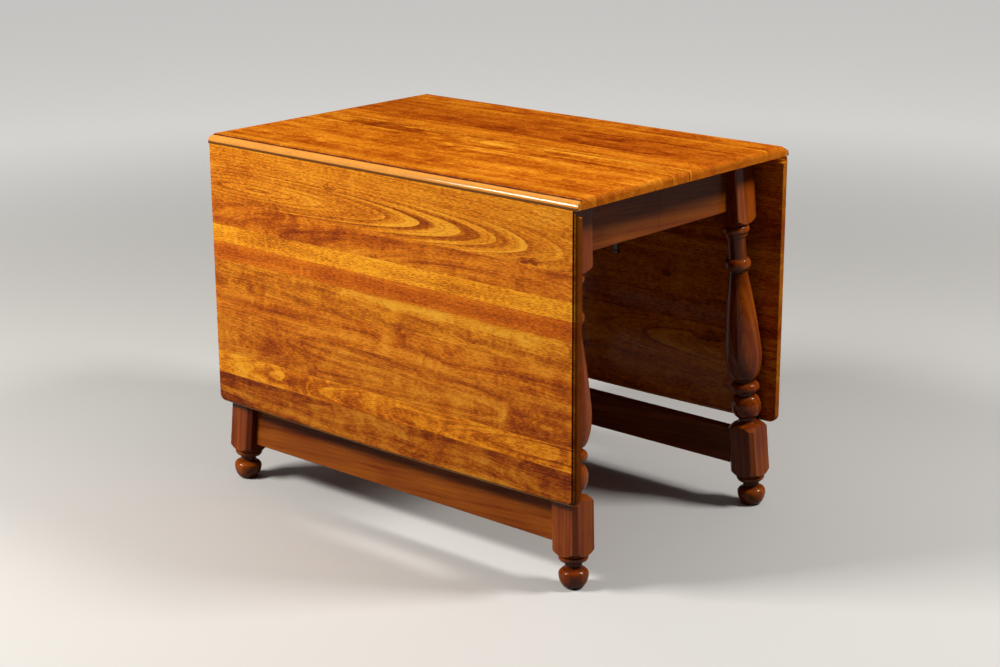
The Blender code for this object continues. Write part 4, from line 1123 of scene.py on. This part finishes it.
# Studio
# A plain pale floor, a large soft light above the front, a weaker one from the side, a dim sky, and a camera
# where the photograph was taken from.
FLOOR_SIZE = 30.0
CAMERA_PLACE = (2.74048, -3.04861, 1.54292)
CAMERA_TURNS = (("Z", 41.775), ("X", 73.753), ("Z", -0.32))
CAMERA_LENS = 73.09
floor_form = bmesh.new()
bmesh.ops.create_grid(floor_form, x_segments=1, y_segments=1, size=FLOOR_SIZE)
floor = add_piece("floor", floor_form, closed=False)
floor_finish, floor_shader, floor_place = finish("pale_floor")
rays = floor_place.socket.id_data.nodes.new("ShaderNodeLightPath").outputs
seen = Shade(rays["Is Camera Ray"]) + Shade(rays["Is Glossy Ray"]) + Shade(rays["Is Transmission Ray"])
paint = seen.mix(seen, (0.055, 0.052, 0.048, 1.0), (0.62, 0.61, 0.59, 1.0))
paint.feed(floor_shader, "Base Color")
floor_x, floor_y = floor_place.part("X"), floor_place.part("Y")
glow = seen * (floor_x * floor_x + floor_y * floor_y).smooth(0.5, 22.0, 0.0, 0.44)
haze = glow.mix(glow, (0.0, 0.0, 0.0, 1.0), (1.0, 0.98, 0.95, 1.0))
haze.feed(floor_shader, "Emission Color")
floor_shader.inputs["Emission Strength"].default_value = 1.0
floor_shader.inputs["Roughness"].default_value = 0.75
floor.data.materials.append(floor_finish)


def soft_light(name, place, target, width, height, power, colour):
    """A rectangular studio light."""
    light = bpy.data.lights.new(name, "AREA")
    light.shape = "RECTANGLE"
    light.size = width
    light.size_y = height
    light.energy = power
    light.color = colour
    lamp = bpy.data.objects.new(name, light)
    lamp.location = place
    lamp.rotation_euler = (Vector(target) - Vector(place)).to_track_quat("-Z", "Y").to_euler()
    bpy.context.scene.collection.objects.link(lamp)


soft_light("key_light", (-1.75, -2.7, 2.9), (0.1, -0.2, 0.5), 1.4, 0.8, 172.0, (1.0, 0.97, 0.92))
soft_light("side_light", (2.4, 1.3, 3.0), (0.3, 0.1, 0.45), 0.9, 0.75, 104.0, (1.0, 0.98, 0.95))
world = bpy.data.worlds.new("studio")
world.use_nodes = True
sky = Shade(world.node_tree.nodes.new("ShaderNodeTexCoord").outputs["Generated"])
ceiling = sky.part("Z").smooth(0.62, 0.98, 0.008, 0.46)
backdrop = Shade(world.node_tree.nodes.new("ShaderNodeLightPath").outputs["Is Camera Ray"])
shining = ceiling * (1.0 - backdrop) + backdrop * 0.56
shining.feed(world.node_tree.nodes["Background"], "Strength")
world.node_tree.nodes["Background"].inputs["Color"].default_value = (0.97, 0.98, 1.0, 1.0)
bpy.context.scene.world = world
bpy.context.scene.view_settings.view_transform = "Standard"

lens = bpy.data.cameras.new("camera")
lens.sensor_width = 36.0
lens.lens = CAMERA_LENS
camera = bpy.data.objects.new("camera", lens)
view = Matrix.Translation(CAMERA_PLACE)
for axis, degrees in CAMERA_TURNS:
    view = view @ Matrix.Rotation(math.radians(degrees), 4, axis)
camera.matrix_world = view
bpy.context.scene.collection.objects.link(camera)
bpy.context.scene.camera = camera
